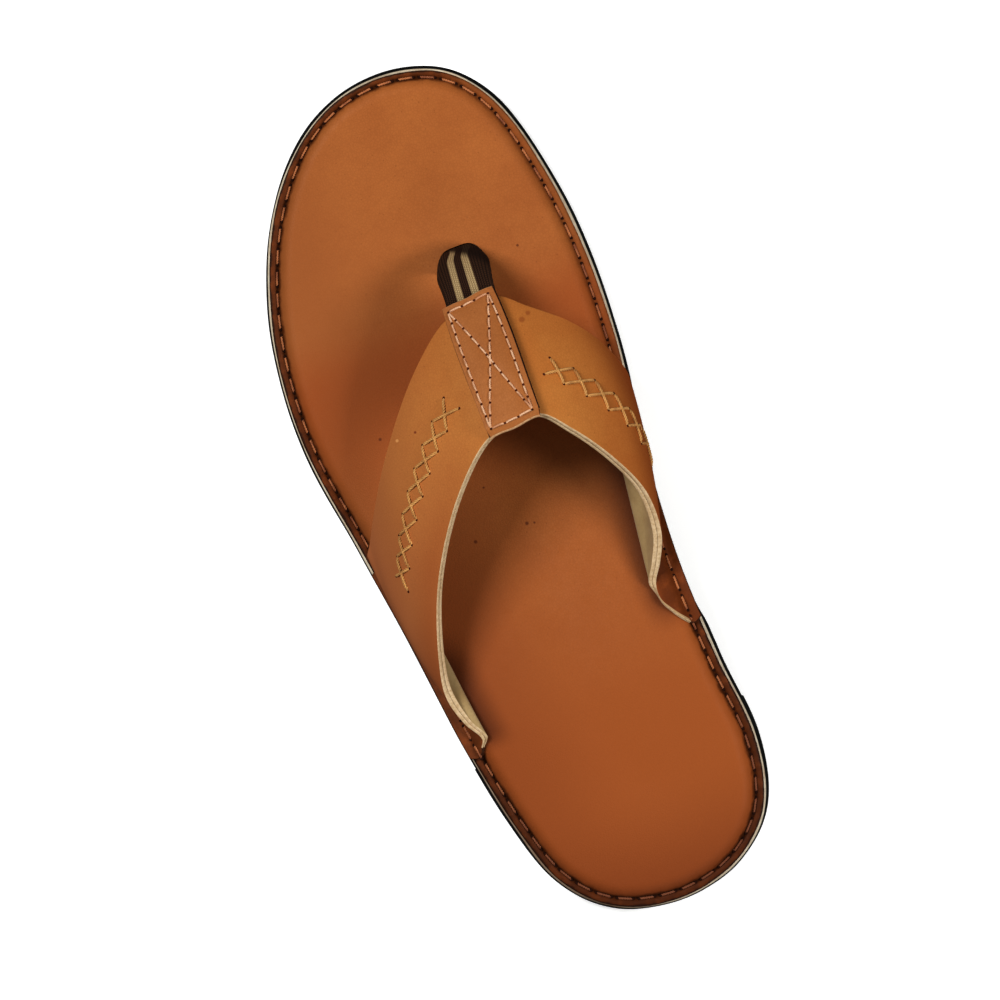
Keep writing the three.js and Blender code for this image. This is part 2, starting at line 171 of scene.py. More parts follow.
class Finish:
    """A material in the making, with its shader and the Object coordinates that its patterns read."""

    def __init__(self, name, specular, sheen=0.0):
        self.material = bpy.data.materials.new(name)
        self.material.use_nodes = True
        self.tree = self.material.node_tree
        self.shader = self.tree.nodes["Principled BSDF"]
        self.shader.inputs["Specular IOR Level"].default_value = specular
        self.shader.inputs["Sheen Weight"].default_value = sheen
        self.place = self.node("ShaderNodeTexCoord").outputs["Object"]

    def node(self, kind, inputs=None, **settings):
        return add_node(self.tree, kind, inputs, **settings)

    def math(self, operation, *values):
        return add_math(self.tree, operation, *values)

    def times(self, first, second):
        return self.math("MULTIPLY", first, second)

    def plus(self, first, second):
        return self.math("ADD", first, second)

    def parts(self, vector):
        """The X, Y and Z of a vector."""
        return self.node("ShaderNodeSeparateXYZ", {0: vector}).outputs

    def uv(self, name):
        """The two sockets of a UV map."""
        return self.parts(self.node("ShaderNodeUVMap", uv_map=name).outputs["UV"])[:2]

    def noise(self, scale, detail=3.0, roughness=0.55, place=None):
        """Noise from about 0 to 1, with `scale` features to the metre."""
        where = self.place if place is None else place
        inputs = {"Vector": where, "Scale": scale, "Detail": detail, "Roughness": roughness}
        return self.node("ShaderNodeTexNoise", inputs).outputs["Fac"]

    def cells(self, scale, feature):
        """Distance in a pattern of cells, with `scale` cells to the metre."""
        inputs = {"Vector": self.place, "Scale": scale}
        return self.node("ShaderNodeTexVoronoi", inputs, feature=feature).outputs["Distance"]

    def ramp(self, value, low, high, to_low=0.0, to_high=1.0):
        """Value mapped smoothly from one range to another, held at the ends."""
        inputs = {"Value": value, "From Min": low, "From Max": high, "To Min": to_low, "To Max": to_high}
        return self.node("ShaderNodeMapRange", inputs, interpolation_type="SMOOTHSTEP").outputs["Result"]

    def band(self, value, rise, fall):
        """Share that rises from 0 to 1 between one pair of values and falls between another."""
        return self.times(self.ramp(value, *rise), self.ramp(value, *fall))

    def mix(self, factor, *colours):
        """Colour mixed from two display colours or sockets."""
        inputs = {0: factor}
        for place, colour in zip((6, 7), colours):
            inputs[place] = colour if isinstance(colour, bpy.types.NodeSocket) else srgb(colour)
        return self.node("ShaderNodeMix", inputs, data_type="RGBA").outputs[2]

    def bump(self, height, strength, depth, under=None):
        """Bump of a height in shares of a depth in millimetres, on top of another bump if one is given."""
        inputs = {"Height": height, "Strength": strength, "Distance": depth * MM}
        if under is not None:
            inputs["Normal"] = under
        return self.node("ShaderNodeBump", inputs).outputs["Normal"]

    def done(self, colour, roughness, normal):
        """Links what varies over the surface, and gives the finished material."""
        for name, socket in (("Base Color", colour), ("Roughness", roughness), ("Normal", normal)):
            self.tree.links.new(socket, self.shader.inputs[name])
        return self.material


def make_rubber():
    """Matt black rubber, dusted and scuffed grey here and there, ribbed where it faces the floor."""
    rubber = Finish("black_rubber", 0.2)
    facing = rubber.parts(rubber.node("ShaderNodeNewGeometry").outputs["Normal"])["Z"]
    along = rubber.parts(rubber.place)["Y"]
    wave = rubber.math("SINE", rubber.times(along, 2 * math.pi / (TREAD_RIB_PITCH * MM)))
    ribs = rubber.times(rubber.ramp(wave, -0.4, 0.4), rubber.ramp(facing, -0.7, -0.95))
    scuff = rubber.ramp(rubber.noise(140, 6, 0.65), 0.52, 0.75)
    bump = rubber.bump(rubber.noise(1700), 0.25, 0.15, rubber.bump(ribs, 0.8, 0.7))
    colour = rubber.mix(scuff, RUBBER_BLACK, RUBBER_WORN)
    return rubber.done(colour, rubber.ramp(scuff, 0, 1, 0.62, 0.85), bump)


def breast_line(x):
    """How far forward the heel's breast lies across the sole."""
    part = (BREAST_REACH - x) / (2 * BREAST_REACH)
    middle = 2 * part * (1 - part) * BREAST_MIDDLE
    return (1 - part) ** 2 * BREAST_MEDIAL + middle + part**2 * BREAST_LATERAL


def heel_outline(inset, flared):
    """One level of the heel block: the outline's back end, closed along the breast's curve."""

    def edge(step):
        inner = np.where(step < 0.5, smooth_step(step, 0, INNER_SIDE_STEP), 0)
        return sole_inset(step, inset - flared * (HEEL_FLARE + (HEEL_FLARE_INNER - HEEL_FLARE) * inner))

    fine = np.linspace(0, 1, 4000)
    loop = edge(fine)
    behind = loop[:, 1] < breast_line(loop[:, 0])
    medial_end = fine[np.argmax(~behind)]
    lateral_end = fine[len(fine) - 1 - np.argmax(~behind[::-1])]
    medial = edge(np.linspace(0, medial_end, HEEL_STEPS))
    lateral = edge(np.linspace(lateral_end, 1, HEEL_STEPS))
    across = np.linspace(medial[-1, 0], lateral[0, 0], BREAST_STEPS + 2)[1:-1]
    return np.concatenate([medial, np.column_stack([across, breast_line(across)]), lateral[:-1]])


def stack_faces(levels, count):
    """Faces of a closed stack of rings, from its underside to its top."""
    faces = [list(range(count))[::-1]]
    for low in range(0, (levels - 1) * count, count):
        for step in range(count):
            ahead = (step + 1) % count
            faces.append([low + step, low + ahead, low + count + ahead, low + count + step])
    return faces + [list(range((levels - 1) * count, levels * count))]


heel_rings = []
for inset, flared, height in HEEL_LEVELS:
    heel_rings.append(np.insert(heel_outline(inset, flared), 2, height, axis=1))
heel_faces = stack_faces(len(heel_rings), len(heel_rings[0]))
black_rubber = make_rubber()
heel = add_piece("heel_block", np.concatenate(heel_rings), heel_faces, [black_rubber], sharp_angle=35)
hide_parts("heel")
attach(heel, "root")

# Outsole: a sheet of black rubber, cut a little wider than everything above it and ground slightly
# inwards towards its top. It drops from the heel through the waist and springs up at the toe.
OUTSOLE_THICK = 6.0
TOE_SPRING = 9.0
HEEL_FLAT = 68.0
TREAD_BACK = 150.0
TREAD_FRONT = 215.0
SOLE_STEPS = 480
OUTSOLE_WANDER = {"reach": 0.1, "phase": 1.0}
TOE_SHOW = 0.45
TOE_SHOW_RISE = (250, 280)
INNER_TRIM = 0.9
INNER_TRIM_RISE = (80, 90)
INNER_TRIM_FALL = (164, 152)
OUTSOLE_PROFILE = (
    (1.8, 0.0),
    (1.0, 0.08),
    (0.4, 0.4),
    (0.08, 1.0),
    (0.0, 1.7),
    (0.2, 3.0),
    (0.55, 4.7),
    (0.8, 5.6),
    (1.1, 5.93),
    (1.7, OUTSOLE_THICK),
)


def sole_rise(y):
    """Height of the outsole's underside along the sole."""
    waist = smooth_step(y, HEEL_FLAT, TREAD_BACK)
    spring = np.maximum(0, (y - TREAD_FRONT) / (LENGTH - TREAD_FRONT))
    return HEEL_HEIGHT * (1 - waist) + TOE_SPRING * spring**2


def cut_wander(step, reach, phase):
    """Slow unevenness of an edge that was cut and ground by hand."""
    turn = 2 * np.pi * step
    slow = np.sin(7 * turn + phase) + 0.7 * np.sin(13 * turn + 2.3 * phase)
    return reach * (slow + 0.5 * np.sin(29 * turn + 4.1 * phase)) / 2.2


def sole_ring(steps, inset, lift):
    """Ring round the sole at an inset, lifted above the outsole's underside."""
    plan = sole_inset(steps, inset)
    return np.column_stack([plan, sole_rise(plan[:, 1]) + lift])


def skin_rings(rings):
    """Faces over rings from an underside to a top, closed by strips at both ends; and the (ring, step)
    of every face corner, where the step isn't wrapped at the closing column."""
    last = len(rings) - 1
    count = len(rings[0])
    corners = []
    for ring in range(last):
        for step in range(count):
            corners.append([(ring, step), (ring, step + 1), (ring + 1, step + 1), (ring + 1, step)])
    for step in range(count // 2):
        across = count - step
        corners.append([(0, across), (0, across - 1), (0, step + 1), (0, step)])
        corners.append([(last, step), (last, step + 1), (last, across - 1), (last, across)])
    faces = []
    kept = []
    for face in corners:
        unique = {ring * count + step % count: (ring, step) for ring, step in face}
        faces.append(list(unique))
        kept.extend(unique.values())
    return faces, np.array(kept)


def toe_show(steps):
    """How much further everything above the outsole is set in at the toe, where more black shows."""
    return TOE_SHOW * smooth_step(sole_edge(steps)[:, 1], *TOE_SHOW_RISE)


def inner_trim(steps):
    """How much further the outsole is ground in at the inner waist, where the strap's foot covers it."""
    along = sole_edge(steps)[:, 1]
    waist = smooth_step(along, *INNER_TRIM_RISE) * smooth_step(along, *INNER_TRIM_FALL)
    return INNER_TRIM * np.where(steps < 0.5, waist, 0)


even_steps = np.arange(SOLE_STEPS) / SOLE_STEPS
outsole_rings = []
for inset, lift in OUTSOLE_PROFILE:
    ground = inset + cut_wander(even_steps, **OUTSOLE_WANDER) + inner_trim(even_steps)
    outsole_rings.append(sole_ring(even_steps, ground, lift))
faces, _ = skin_rings(outsole_rings)
outsole = add_piece("outsole_sheet", np.concatenate(outsole_rings), faces, [black_rubber], sharp_angle=35)
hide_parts("outsole")
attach(outsole, "root")

# Midsole: a pale fibre board between the outsole and the footbed. Its raw edge shows as a cream line
# all round the sole, trimmed by hand and rubbed a little with the edge dye of the leather above.
SOLE_GLUE_LINE = 0.3
MIDSOLE_THICK = 2.4
MIDSOLE_LIFT = OUTSOLE_THICK + SOLE_GLUE_LINE
MIDSOLE_WANDER = {"reach": 0.14, "phase": 2.6}
MIDSOLE_PROFILE = (
    (1.9, 0.0),
    (1.2, 0.08),
    (1.0, 0.4),
    (0.95, 1.3),
    (1.05, 2.0),
    (1.3, 2.32),
    (2.4, MIDSOLE_THICK),
)
BOARD_CREAM = (226, 214, 190)
BOARD_STAIN = (172, 140, 104)
BOARD_DYED = (116, 82, 58)


def make_board():
    """Cream fibre board: streaked along its edge, stained where dye ran, with a fuzzy cut."""
    board = Finish("cream_board", 0.2)
    layers = board.node("ShaderNodeMapping", {"Vector": board.place, "Scale": (1.0, 1.0, 9.0)})
    fibre = board.noise(420, 4, 0.65, layers.outputs["Vector"])
    colour = board.mix(board.ramp(board.noise(90, 5, 0.6), 0.5, 0.78), BOARD_CREAM, BOARD_STAIN)
    colour = board.mix(board.ramp(fibre, 0.35, 0.7, 0.0, 0.45), colour, BOARD_STAIN)
    across, along, _ = board.parts(board.place)
    dyed = board.times(board.ramp(across, 0.02, -0.015), board.ramp(along, -0.05, -0.1, 0.0, 0.7))
    colour = board.mix(dyed, colour, BOARD_DYED)
    return board.done(colour, board.ramp(fibre, 0.3, 0.7, 0.78, 0.95), board.bump(fibre, 0.5, 0.2))


midsole_rings = []
for inset, lift in MIDSOLE_PROFILE:
    trimmed = inset + cut_wander(even_steps, **MIDSOLE_WANDER) + toe_show(even_steps)
    midsole_rings.append(sole_ring(even_steps, trimmed, MIDSOLE_LIFT + lift))
faces, _ = skin_rings(midsole_rings)
midsole = add_piece("midsole_board", np.concatenate(midsole_rings), faces, [make_board()])
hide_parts("midsole")
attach(midsole, "root")

# Footbed: smooth tan leather over a foam pad. Outside the seam it lies flat as a thin rim with a dark
# burnished edge; at the seam it is drawn down into a crease, and inside it swells over the pad.
RIM_THICK = 1.8
PAD_RISE = 3.4
PAD_ROUNDNESS = 0.75
CREASE_INSET = 4.8
PAD_INSET = 9.5
BED_DISH = 1.5
SPINE_BACK = 42.0
SPINE_FRONT = 236.0
SPINE_INSET = 30.0
SEAM_INSET = 4.25
STITCH_PITCH = 7.0
NEEDLE_GAP = 2.0
NEEDLE_REACH = 0.9
RIM_PULL = {"depth": 0.4, "reach": 0.8}
SHOULDER_PULL = {"depth": 0.35, "reach": 1.9}
RIM_WANDER = {"reach": 0.16, "phase": 5.2}
FOOTBED_STEPS = 960
FOOTBED_SHARP = 60
FOOTBED_LIFT = MIDSOLE_LIFT + MIDSOLE_THICK + SOLE_GLUE_LINE
RIM_LIFT = FOOTBED_LIFT + RIM_THICK
PAD_LIFT = RIM_LIFT + PAD_RISE
RIM_PROFILE = (
    (2.4, -RIM_THICK),
    (1.75, -RIM_THICK + 0.1),
    (1.65, -1.3),
    (1.65, -0.55),
    (1.8, -0.2),
    (2.15, 0.0),
    (2.8, 0.06),
    (3.3, 0.02),
    (3.7, -0.15),
    (4.0, -0.42),
    (4.3, -0.58),
    (4.6, -0.42),
    (4.85, 0.05),
)
SHOULDER_INSETS = (5.05, 5.3, 5.6, 6.0, 6.5, 7.1, 7.7, 8.3, 8.9, PAD_INSET)
PAD_SHARES = (0.05, 0.1, 0.16, 0.23, 0.31, 0.4, 0.5, 0.6, 0.7, 0.79, 0.87, 0.94)
FOOTBED_TAN = (171, 105, 54)
FOOTBED_DEEP = (156, 91, 45)
LATERAL_TAN = (151, 90, 47)
# Painted shadow of the strap on the footbed, under and before it
STRAP_SHADOW_TAN = (148, 72, 30)
HEEL_TAN = (154, 84, 39)
HEEL_DEEP = (124, 62, 28)
# Painted shade on the outer waist and heel, where the outer wing's shadow falls
OUTER_HEEL_SHADE = (138, 73, 34)
# Painted shade in the corners beside the strap's rear ends
STRAP_CORNER_SHADE = (80, 37, 15)
BURNISH_BROWN = (82, 39, 12)
BURNISH_RUBBED = (121, 62, 24)
BURNISH_DARK = (38, 16, 6)
SPECK_BROWN = (84, 38, 20)
FOOTBED_SPOTS = (
    (-39.6, 173.8, 0.7, SPECK_BROWN),
    (-22.2, 132.0, 0.8, SPECK_BROWN),
    (-4.6, 131.8, 0.8, SPECK_BROWN),
    (-2.2, 131.2, 0.5, SPECK_BROWN),
    (-13.7, 147.5, 0.5, SPECK_BROWN),
    (24.0, 217.0, 0.6, SPECK_BROWN),
)
LOOP_X = 5.2
LOOP_FRONT = 0.776
LOOP_BOW = 5.0
LOOP_CUP = 0.715
WEBBING_WIDTH = 16.1
WEBBING_THICK = 1.8
WEBBING_GAP = 0.3
SLOT_CLEARANCE = 0.4
SLOT_STEPS = 24


def run_along(points):
    """Length run at each of a row of points."""
    return np.concatenate([[0], np.cumsum(np.linalg.norm(np.diff(points, axis=0), axis=1))])


def seam_steps(count):
    """Steps round the sole that lie evenly along the seam, and the seam's length."""
    fine = np.linspace(0, 1, 6001)
    run = run_along(sole_inset(fine, SEAM_INSET))
    return np.interp(np.arange(count) / count * run[-1], run, fine), run[-1]


def pad_rise(inset):
    """Height of the padded leather above its rim at an inset from the outline."""
    share = np.clip((inset - CREASE_INSET) / (PAD_INSET - CREASE_INSET), 0, 1)
    return PAD_RISE * (1 - (1 - share) ** 2) ** PAD_ROUNDNESS


def pad_swell(plan):
    """Slow unevenness of the foam under the leather, within a few tenths of a millimetre."""
    x, y = plan[:, 0], plan[:, 1]
    return 0.12 * np.sin(x / 17 + 0.6) * np.sin(y / 26 + 1.1) + 0.06 * np.sin(x / 7.3 + y / 11.0)


def drawn_down(inset, depth, reach):
    """How far the thread draws the leather down beside its needle holes."""
    return depth * needle_pull * np.exp(-(((inset - SEAM_INSET) / reach) ** 2))


def loop_entry(across):
    """Where the toe loop's inner face meets the footbed, from its lateral (-1) to its medial (1) edge."""
    across = np.asarray(across, dtype=float)
    x = LOOP_X + across * LOOP_CUP * WEBBING_WIDTH / 2
    y = LOOP_FRONT * LENGTH - LOOP_BOW * across**6
    return np.stack([x, y, sole_rise(y) + PAD_LIFT], axis=-1)


def tan_leather(name, light, deep, dye):
    """Smooth waxed leather with cloudy dye, fine grain and pores; a function of the piece paints its dye and
    its painted shade over it.
    """
    leather = Finish(name, 0.1)
    ramp, times, mix = leather.ramp, leather.times, leather.mix
    cloud = ramp(leather.noise(26, 5, 0.6), 0.3, 0.7)
    fleck = ramp(leather.noise(330, 4, 0.7), 0.35, 0.75)
    grain = ramp(leather.cells(1050.0, "DISTANCE_TO_EDGE"), 0.0, 0.22)
    pores = ramp(leather.cells(420.0, "F1"), 0.06, 0.14)
    colour = mix(times(cloud, 0.8), light, deep)
    colour = mix(times(fleck, 0.28), colour, deep)
    colour = mix(ramp(grain, 0, 1, 0.1, 0.0), colour, BURNISH_BROWN)
    colour = mix(ramp(pores, 0, 1, 0.22, 0.0), colour, BURNISH_BROWN)
    relief = leather.plus(times(grain, 0.7), times(leather.noise(2400, 3, 0.6), 0.5))
    bump = leather.bump(relief, 0.22, 0.14, leather.bump(pores, 0.18, 0.12))
    roughness = leather.plus(ramp(fleck, 0, 1, 0.5, 0.6), ramp(grain, 0, 1, 0.06, 0.0))
    return leather.done(dye(leather, colour), roughness, bump)


def add_spots(leather, colour, spots):
    """Small soft marks, each with its place and radius in the slipper's millimetres and a tint."""
    flat = add_vector(leather.tree, "MULTIPLY", {0: leather.place, 1: (1.0, 1.0, 0.0)})[0]
    for x, y, radius, tint in spots:
        centre = ((x + FRAME_SHIFT[0]) * MM, (y + FRAME_SHIFT[1]) * MM, 0.0)
        away = add_vector(leather.tree, "DISTANCE", {0: flat, 1: centre})["Value"]
        colour = leather.mix(leather.ramp(away, radius * MM, 0.4 * radius * MM, 0.0, 0.75), colour, tint)
    return colour


def add_burnish(leather):
    """Streaky brown of leather that was rubbed with edge dye, and the streaks themselves."""
    streak = leather.noise(210, 5, 0.65)
    return leather.mix(leather.ramp(streak, 0.4, 0.8), BURNISH_BROWN, BURNISH_RUBBED), streak


def footbed_dye_and_shade(leather, colour):
    """Colour deeper towards the heel and darker on the outer side, painted shadow of the strap under and
    before it, painted shade on the outer waist and heel and in the corners beside the strap's rear ends,
    a burnished rim that is lighter beside the big toe, and specks."""
    ramp, times, mix, band = leather.ramp, leather.times, leather.mix, leather.band
    _, inset = leather.uv("rim")
    across, along, _ = leather.parts(leather.place)
    colour = mix(ramp(across, 0.01, -0.045, 0.0, 0.75), colour, LATERAL_TAN)
    # Painted shadow of the strap, under and before it
    colour = mix(times(band(along, (-0.01, 0.045), (0.074, 0.052)), 0.55), colour, STRAP_SHADOW_TAN)
    colour = mix(ramp(along, 0.005, -0.09, 0.0, 0.9), colour, HEEL_TAN)
    # Painted shade on the outer waist and heel, where the outer wing's shadow falls
    outer = times(ramp(across, 0.015, -0.03), ramp(along, 0.03, -0.03))
    colour = mix(times(outer, 0.7), colour, OUTER_HEEL_SHADE)
    colour = mix(ramp(along, -0.1, -0.145, 0.0, 0.85), colour, HEEL_DEEP)
    # Painted shade in the corners that the strap's rear ends make with the footbed
    inner_corner_shade = times(band(along, (-0.06, -0.046), (0.016, -0.006)), ramp(across, 0.01, 0.02))
    outer_corner_shade = times(band(along, (-0.076, -0.068), (-0.03, -0.046)), ramp(across, -0.01, -0.02))
    corner = times(leather.plus(inner_corner_shade, outer_corner_shade), ramp(inset, 18.0, 9.0))
    colour = mix(times(corner, 0.88), colour, STRAP_CORNER_SHADE)
    colour = add_spots(leather, colour, FOOTBED_SPOTS)
    brown, streak = add_burnish(leather)
    ragged = leather.plus(inset, ramp(streak, 0.2, 0.8, -0.5, 0.5))
    crease = times(band(inset, (3.6, 4.3), (5.2, 4.5)), 0.7)
    brown = mix(ramp(along, -0.05, -0.1, 0.0, 0.4), brown, BURNISH_DARK)
    brown = mix(leather.math("MAXIMUM", crease, ramp(ragged, 2.5, 2.0)), brown, BURNISH_DARK)
    light = times(ramp(across, 0.025, 0.045), ramp(along, -0.02, 0.03))
    strength = times(ramp(ragged, 5.9, 4.7), ramp(light, 0, 1, 0.95, 0.4))
    return mix(strength, colour, brown)


def add_uv(piece, name, values):
    """UV map from one pair of values for each face corner."""
    layer = piece.data.uv_layers.new(name=name)
    layer.data.foreach_set("uv", np.asarray(values, dtype=np.float32).ravel())


footbed_steps, seam_length = seam_steps(FOOTBED_STEPS)
STITCH_COUNT = round(seam_length / STITCH_PITCH)
stitch_length = seam_length / STITCH_COUNT
needle_share = NEEDLE_GAP / 2 / stitch_length
pitch_turn = np.arange(FOOTBED_STEPS) / FOOTBED_STEPS * STITCH_COUNT
to_needle = np.abs(np.abs((pitch_turn + 0.5) % 1.0 - 0.5) - needle_share) * stitch_length
needle_pull = np.exp(-((to_needle / NEEDLE_REACH) ** 2))
rim_wander = cut_wander(footbed_steps, **RIM_WANDER) + toe_show(footbed_steps)

footbed_rings = []
footbed_insets = []
for inset, lift in RIM_PROFILE:
    cut = inset + (1 - smooth_step(inset, 2.0, SEAM_INSET)) * rim_wander
    footbed_rings.append(sole_ring(footbed_steps, cut, RIM_LIFT + lift - drawn_down(inset, **RIM_PULL)))
    footbed_insets.append(inset)
for inset in SHOULDER_INSETS:
    swell = pad_swell(sole_inset(footbed_steps, inset)) * smooth_step(inset, CREASE_INSET, PAD_INSET)
    lift = RIM_LIFT + pad_rise(inset) - drawn_down(inset, **SHOULDER_PULL) + swell
    footbed_rings.append(sole_ring(footbed_steps, inset, lift))
    footbed_insets.append(inset)
shoulder = sole_inset(footbed_steps, PAD_INSET)
spine_y = np.clip(shoulder[:, 1], SPINE_BACK, SPINE_FRONT)
spine_turn = TURNS * np.arccos(1 - 2 * spine_y / LENGTH) / np.pi
spine_x = (side_width(MEDIAL_SHARES, spine_turn) - side_width(LATERAL_SHARES, spine_turn)) / 2
for share in PAD_SHARES:
    plan = shoulder + (np.column_stack([spine_x, spine_y]) - shoulder) * share
    lift = PAD_LIFT - BED_DISH * share**2 + pad_swell(plan)
    footbed_rings.append(np.column_stack([plan, sole_rise(plan[:, 1]) + lift]))
    footbed_insets.append(PAD_INSET + SPINE_INSET * share)
faces, corners = skin_rings(footbed_rings)
footbed_leather = tan_leather("footbed_leather", FOOTBED_TAN, FOOTBED_DEEP, footbed_dye_and_shade)
points = np.concatenate(footbed_rings)
footbed = add_piece("footbed_pad", points, faces, [footbed_leather], sharp_angle=FOOTBED_SHARP)
around_rim = corners[:, 1] / FOOTBED_STEPS * STITCH_COUNT
add_uv(footbed, "rim", np.column_stack([around_rim, np.array(footbed_insets)[corners[:, 0]]]))

# The slot is a bowed slit, cut through the leather and the foam with a little room round the webbing
slot_across = np.linspace(-1, 1, SLOT_STEPS + 1) * (1 + 2 * SLOT_CLEARANCE / WEBBING_WIDTH)
slot_line = loop_entry(slot_across)
slot_run = np.gradient(slot_line, axis=0)
slot_out = unit(np.column_stack([-slot_run[:, 1], slot_run[:, 0], 0 * slot_across]))
slot_inner = slot_line - slot_out * (SLOT_CLEARANCE - WEBBING_GAP)
slot_outer = slot_line + slot_out * (WEBBING_GAP + WEBBING_THICK + SLOT_CLEARANCE)
slot_loop = np.concatenate([slot_inner, slot_outer[::-1]])
slot_points = np.concatenate([slot_loop - (0, 0, PAD_LIFT), slot_loop + (0, 0, PAD_RISE)])
slot_cutter = add_piece("toe_loop_slot", slot_points, stack_faces(2, len(slot_loop)), [footbed_leather])
slot_cut = footbed.modifiers.new("Toe loop slot", "BOOLEAN")
slot_cut.operation = "DIFFERENCE"
slot_cut.solver = "EXACT"
slot_cut.object = slot_cutter


def apply_modifiers(piece):
    """Turns what the modifiers make into the piece's own plain mesh."""
    evaluated = piece.evaluated_get(bpy.context.evaluated_depsgraph_get())
    plain = bpy.data.meshes.new_from_object(evaluated)
    plain.name = piece.name
    piece.modifiers.clear()
    piece.data = plain


apply_modifiers(footbed)
footbed.data.set_sharp_from_angle(angle=math.radians(FOOTBED_SHARP))
bpy.data.objects.remove(slot_cutter)
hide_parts("footbed")
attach(footbed, "root")

# Strap: the V-shaped upper, one piece of tan leather. Its two feet are turned out and sewn down on the
# footbed's rim, its edges are cut raw, and it is bonded to a pale lining.
INSTEP_HEIGHT = 46.0
FLANGE_THICK = 1.6
STRAP_THICK = 2.8
LEATHER_SHARE = 0.5
BOND_LINE = 0.1
STRAP_EDGE_ROUND = 0.3
LINE_STEPS = 8
DEPTH_STEPS = 64
STRAP_TAN = (194, 129, 65)
STRAP_DEEP = (180, 111, 53)
# Painted shade towards the strap's feet and at the back of its outer wing
LATERAL_FOOT_SHADE = (172, 106, 67)
MEDIAL_FOOT_SHADE = (155, 78, 30)
LATERAL_BACK_SHADE = (146, 77, 37)
PIN_DARK = (110, 40, 28)
PIN_PALE = (226, 166, 104)
SMUDGE = (150, 84, 40)
STRAP_SPOTS = (
    (-26.8, 171.6, 0.6, PIN_DARK),
    (-33.4, 171.2, 0.7, PIN_PALE),
    (17.5, 193.2, 1.3, SMUDGE),
    (20.0, 194.6, 1.0, SMUDGE),
)
CUT_CREAM = (214, 190, 154)
CUT_SHADE = (180, 150, 110)

# Feet of the strap from the sole's edge inwards: inset from the outline, what the medial foot's back end
# adds to it, rise of the fold that turns up, and where the fold starts and ends as shares of the length
FLANGE_FOLDS = (
    {"inset": 0.8, "tuck": 0.0, "rise": 0.0, "lateral": (0.235, 0.468), "medial": (0.297, 0.542)},
    {"inset": 3.5, "tuck": 0.0, "rise": 0.0, "lateral": (0.2305, 0.473), "medial": (0.2925, 0.546)},
    {"inset": 6.3, "tuck": 0.9, "rise": 0.0, "lateral": (0.2345, 0.477), "medial": (0.3025, 0.55)},
    {"inset": 7.0, "tuck": 1.8, "rise": 0.2, "lateral": (0.2395, 0.481), "medial": (0.3135, 0.555)},
    {"inset": 8.2, "tuck": 2.6, "rise": 0.8, "lateral": (0.2475, 0.485), "medial": (0.329, 0.56)},
)

# Free folds from the lateral foot over the ridge to the medial foot. Each end is (share of the half
# width, share of the length, share of the instep height); the crown is the swell between them.
STRAP_FOLDS = (
    {"back": (-0.897, 0.275, 0.075), "front": (-0.948, 0.49, 0.065), "crown": 1.5},
    {"back": (-0.9205, 0.3095, 0.185), "front": (-0.898, 0.505, 0.13), "crown": 2.5},
    {"back": (-0.862, 0.348, 0.33), "front": (-0.79, 0.537, 0.24), "crown": 2.5},
    {"back": (-0.643, 0.435, 0.587), "front": (-0.608, 0.589, 0.38), "crown": 2.5},
    {"back": (-0.333, 0.52, 0.826), "front": (-0.32, 0.665, 0.522), "crown": 2.0},
    {"back": (-0.074, 0.567, 0.967), "front": (-0.082, 0.708, 0.583), "crown": 1.5},
    {"back": (0.094, 0.57, 1.0), "front": (0.077, 0.712, 0.598), "crown": 1.5},
    {"back": (0.295, 0.572, 0.978), "front": (0.269, 0.714, 0.587), "crown": 1.5},
    {"back": (0.492, 0.544, 0.902), "front": (0.447, 0.692, 0.543), "crown": 2.0},
    {"back": (0.725, 0.499, 0.728), "front": (0.687, 0.66, 0.446), "crown": 2.0},
    {"back": (0.897, 0.45, 0.511), "front": (0.837, 0.631, 0.337), "crown": 2.5},
    {"back": (0.915, 0.4, 0.295), "front": (0.943, 0.601, 0.217), "crown": 2.5},
    {"back": (0.825, 0.3695, 0.15), "front": (0.994, 0.579, 0.13), "crown": 2.0},
    {"back": (0.725, 0.347, 0.055), "front": (0.965, 0.565, 0.054), "crown": 1.0},
)
RIDGE_LINE = len(FLANGE_FOLDS) + 6
LAST_LINE = 2 * len(FLANGE_FOLDS) + len(STRAP_FOLDS) - 1
FIRST_FREE = len(FLANGE_FOLDS) - 2
SKIVED_FOLDS = 3
FOLD_REACH = 14
DYED_LATERAL = 2.9
DYED_MEDIAL = LAST_LINE - 1.5


def flange_line(side, fold, depths):
    """Fold of a foot: a gap and a thickness off the footbed, square to the footbed's own profile."""
    reach = 0.1
    inset = fold["inset"] + (fold["tuck"] * (1 - depths) ** 3 if side == "medial" else 0 * depths)
    slope = (pad_rise(inset + reach) - pad_rise(inset - reach)) / (2 * reach)
    off = (SOLE_GLUE_LINE + FLANGE_THICK) / np.hypot(slope, 1)
    back, front = fold[side]
    y = (back + (front - back) * depths) * LENGTH
    step = np.arccos(1 - 2 * y / LENGTH) / np.pi / 2
    step = step if side == "medial" else 1 - step
    return sole_ring(step, inset - slope * off, RIM_LIFT + pad_rise(inset) + off + fold["rise"])


def fold_corner(across, along, lift):
    """End of a free fold in millimetres."""
    y = along * LENGTH
    turn = TURNS * math.acos(1 - 2 * along) / math.pi
    shares = LATERAL_SHARES if across < 0 else MEDIAL_SHARES
    height = sole_rise(y) + PAD_LIFT + SOLE_GLUE_LINE + lift * INSTEP_HEIGHT
    return np.array([across * side_width(shares, turn), y, height])


def free_line(fold, depths):
    """Free fold from the strap's back edge to its front edge, swelling outwards between them."""
    back, front = fold_corner(*fold["back"]), fold_corner(*fold["front"])
    slope = math.pi / 2 * (fold["back"][2] + (fold["front"][2] - fold["back"][2]) * depths)
    swell = fold["crown"] * 4 * depths * (1 - depths)
    outward = np.column_stack([np.sign(fold["back"][0]) * np.cos(slope), 0 * slope, np.sin(slope)])
    return back + (front - back) * depths[:, None] + outward * swell[:, None]


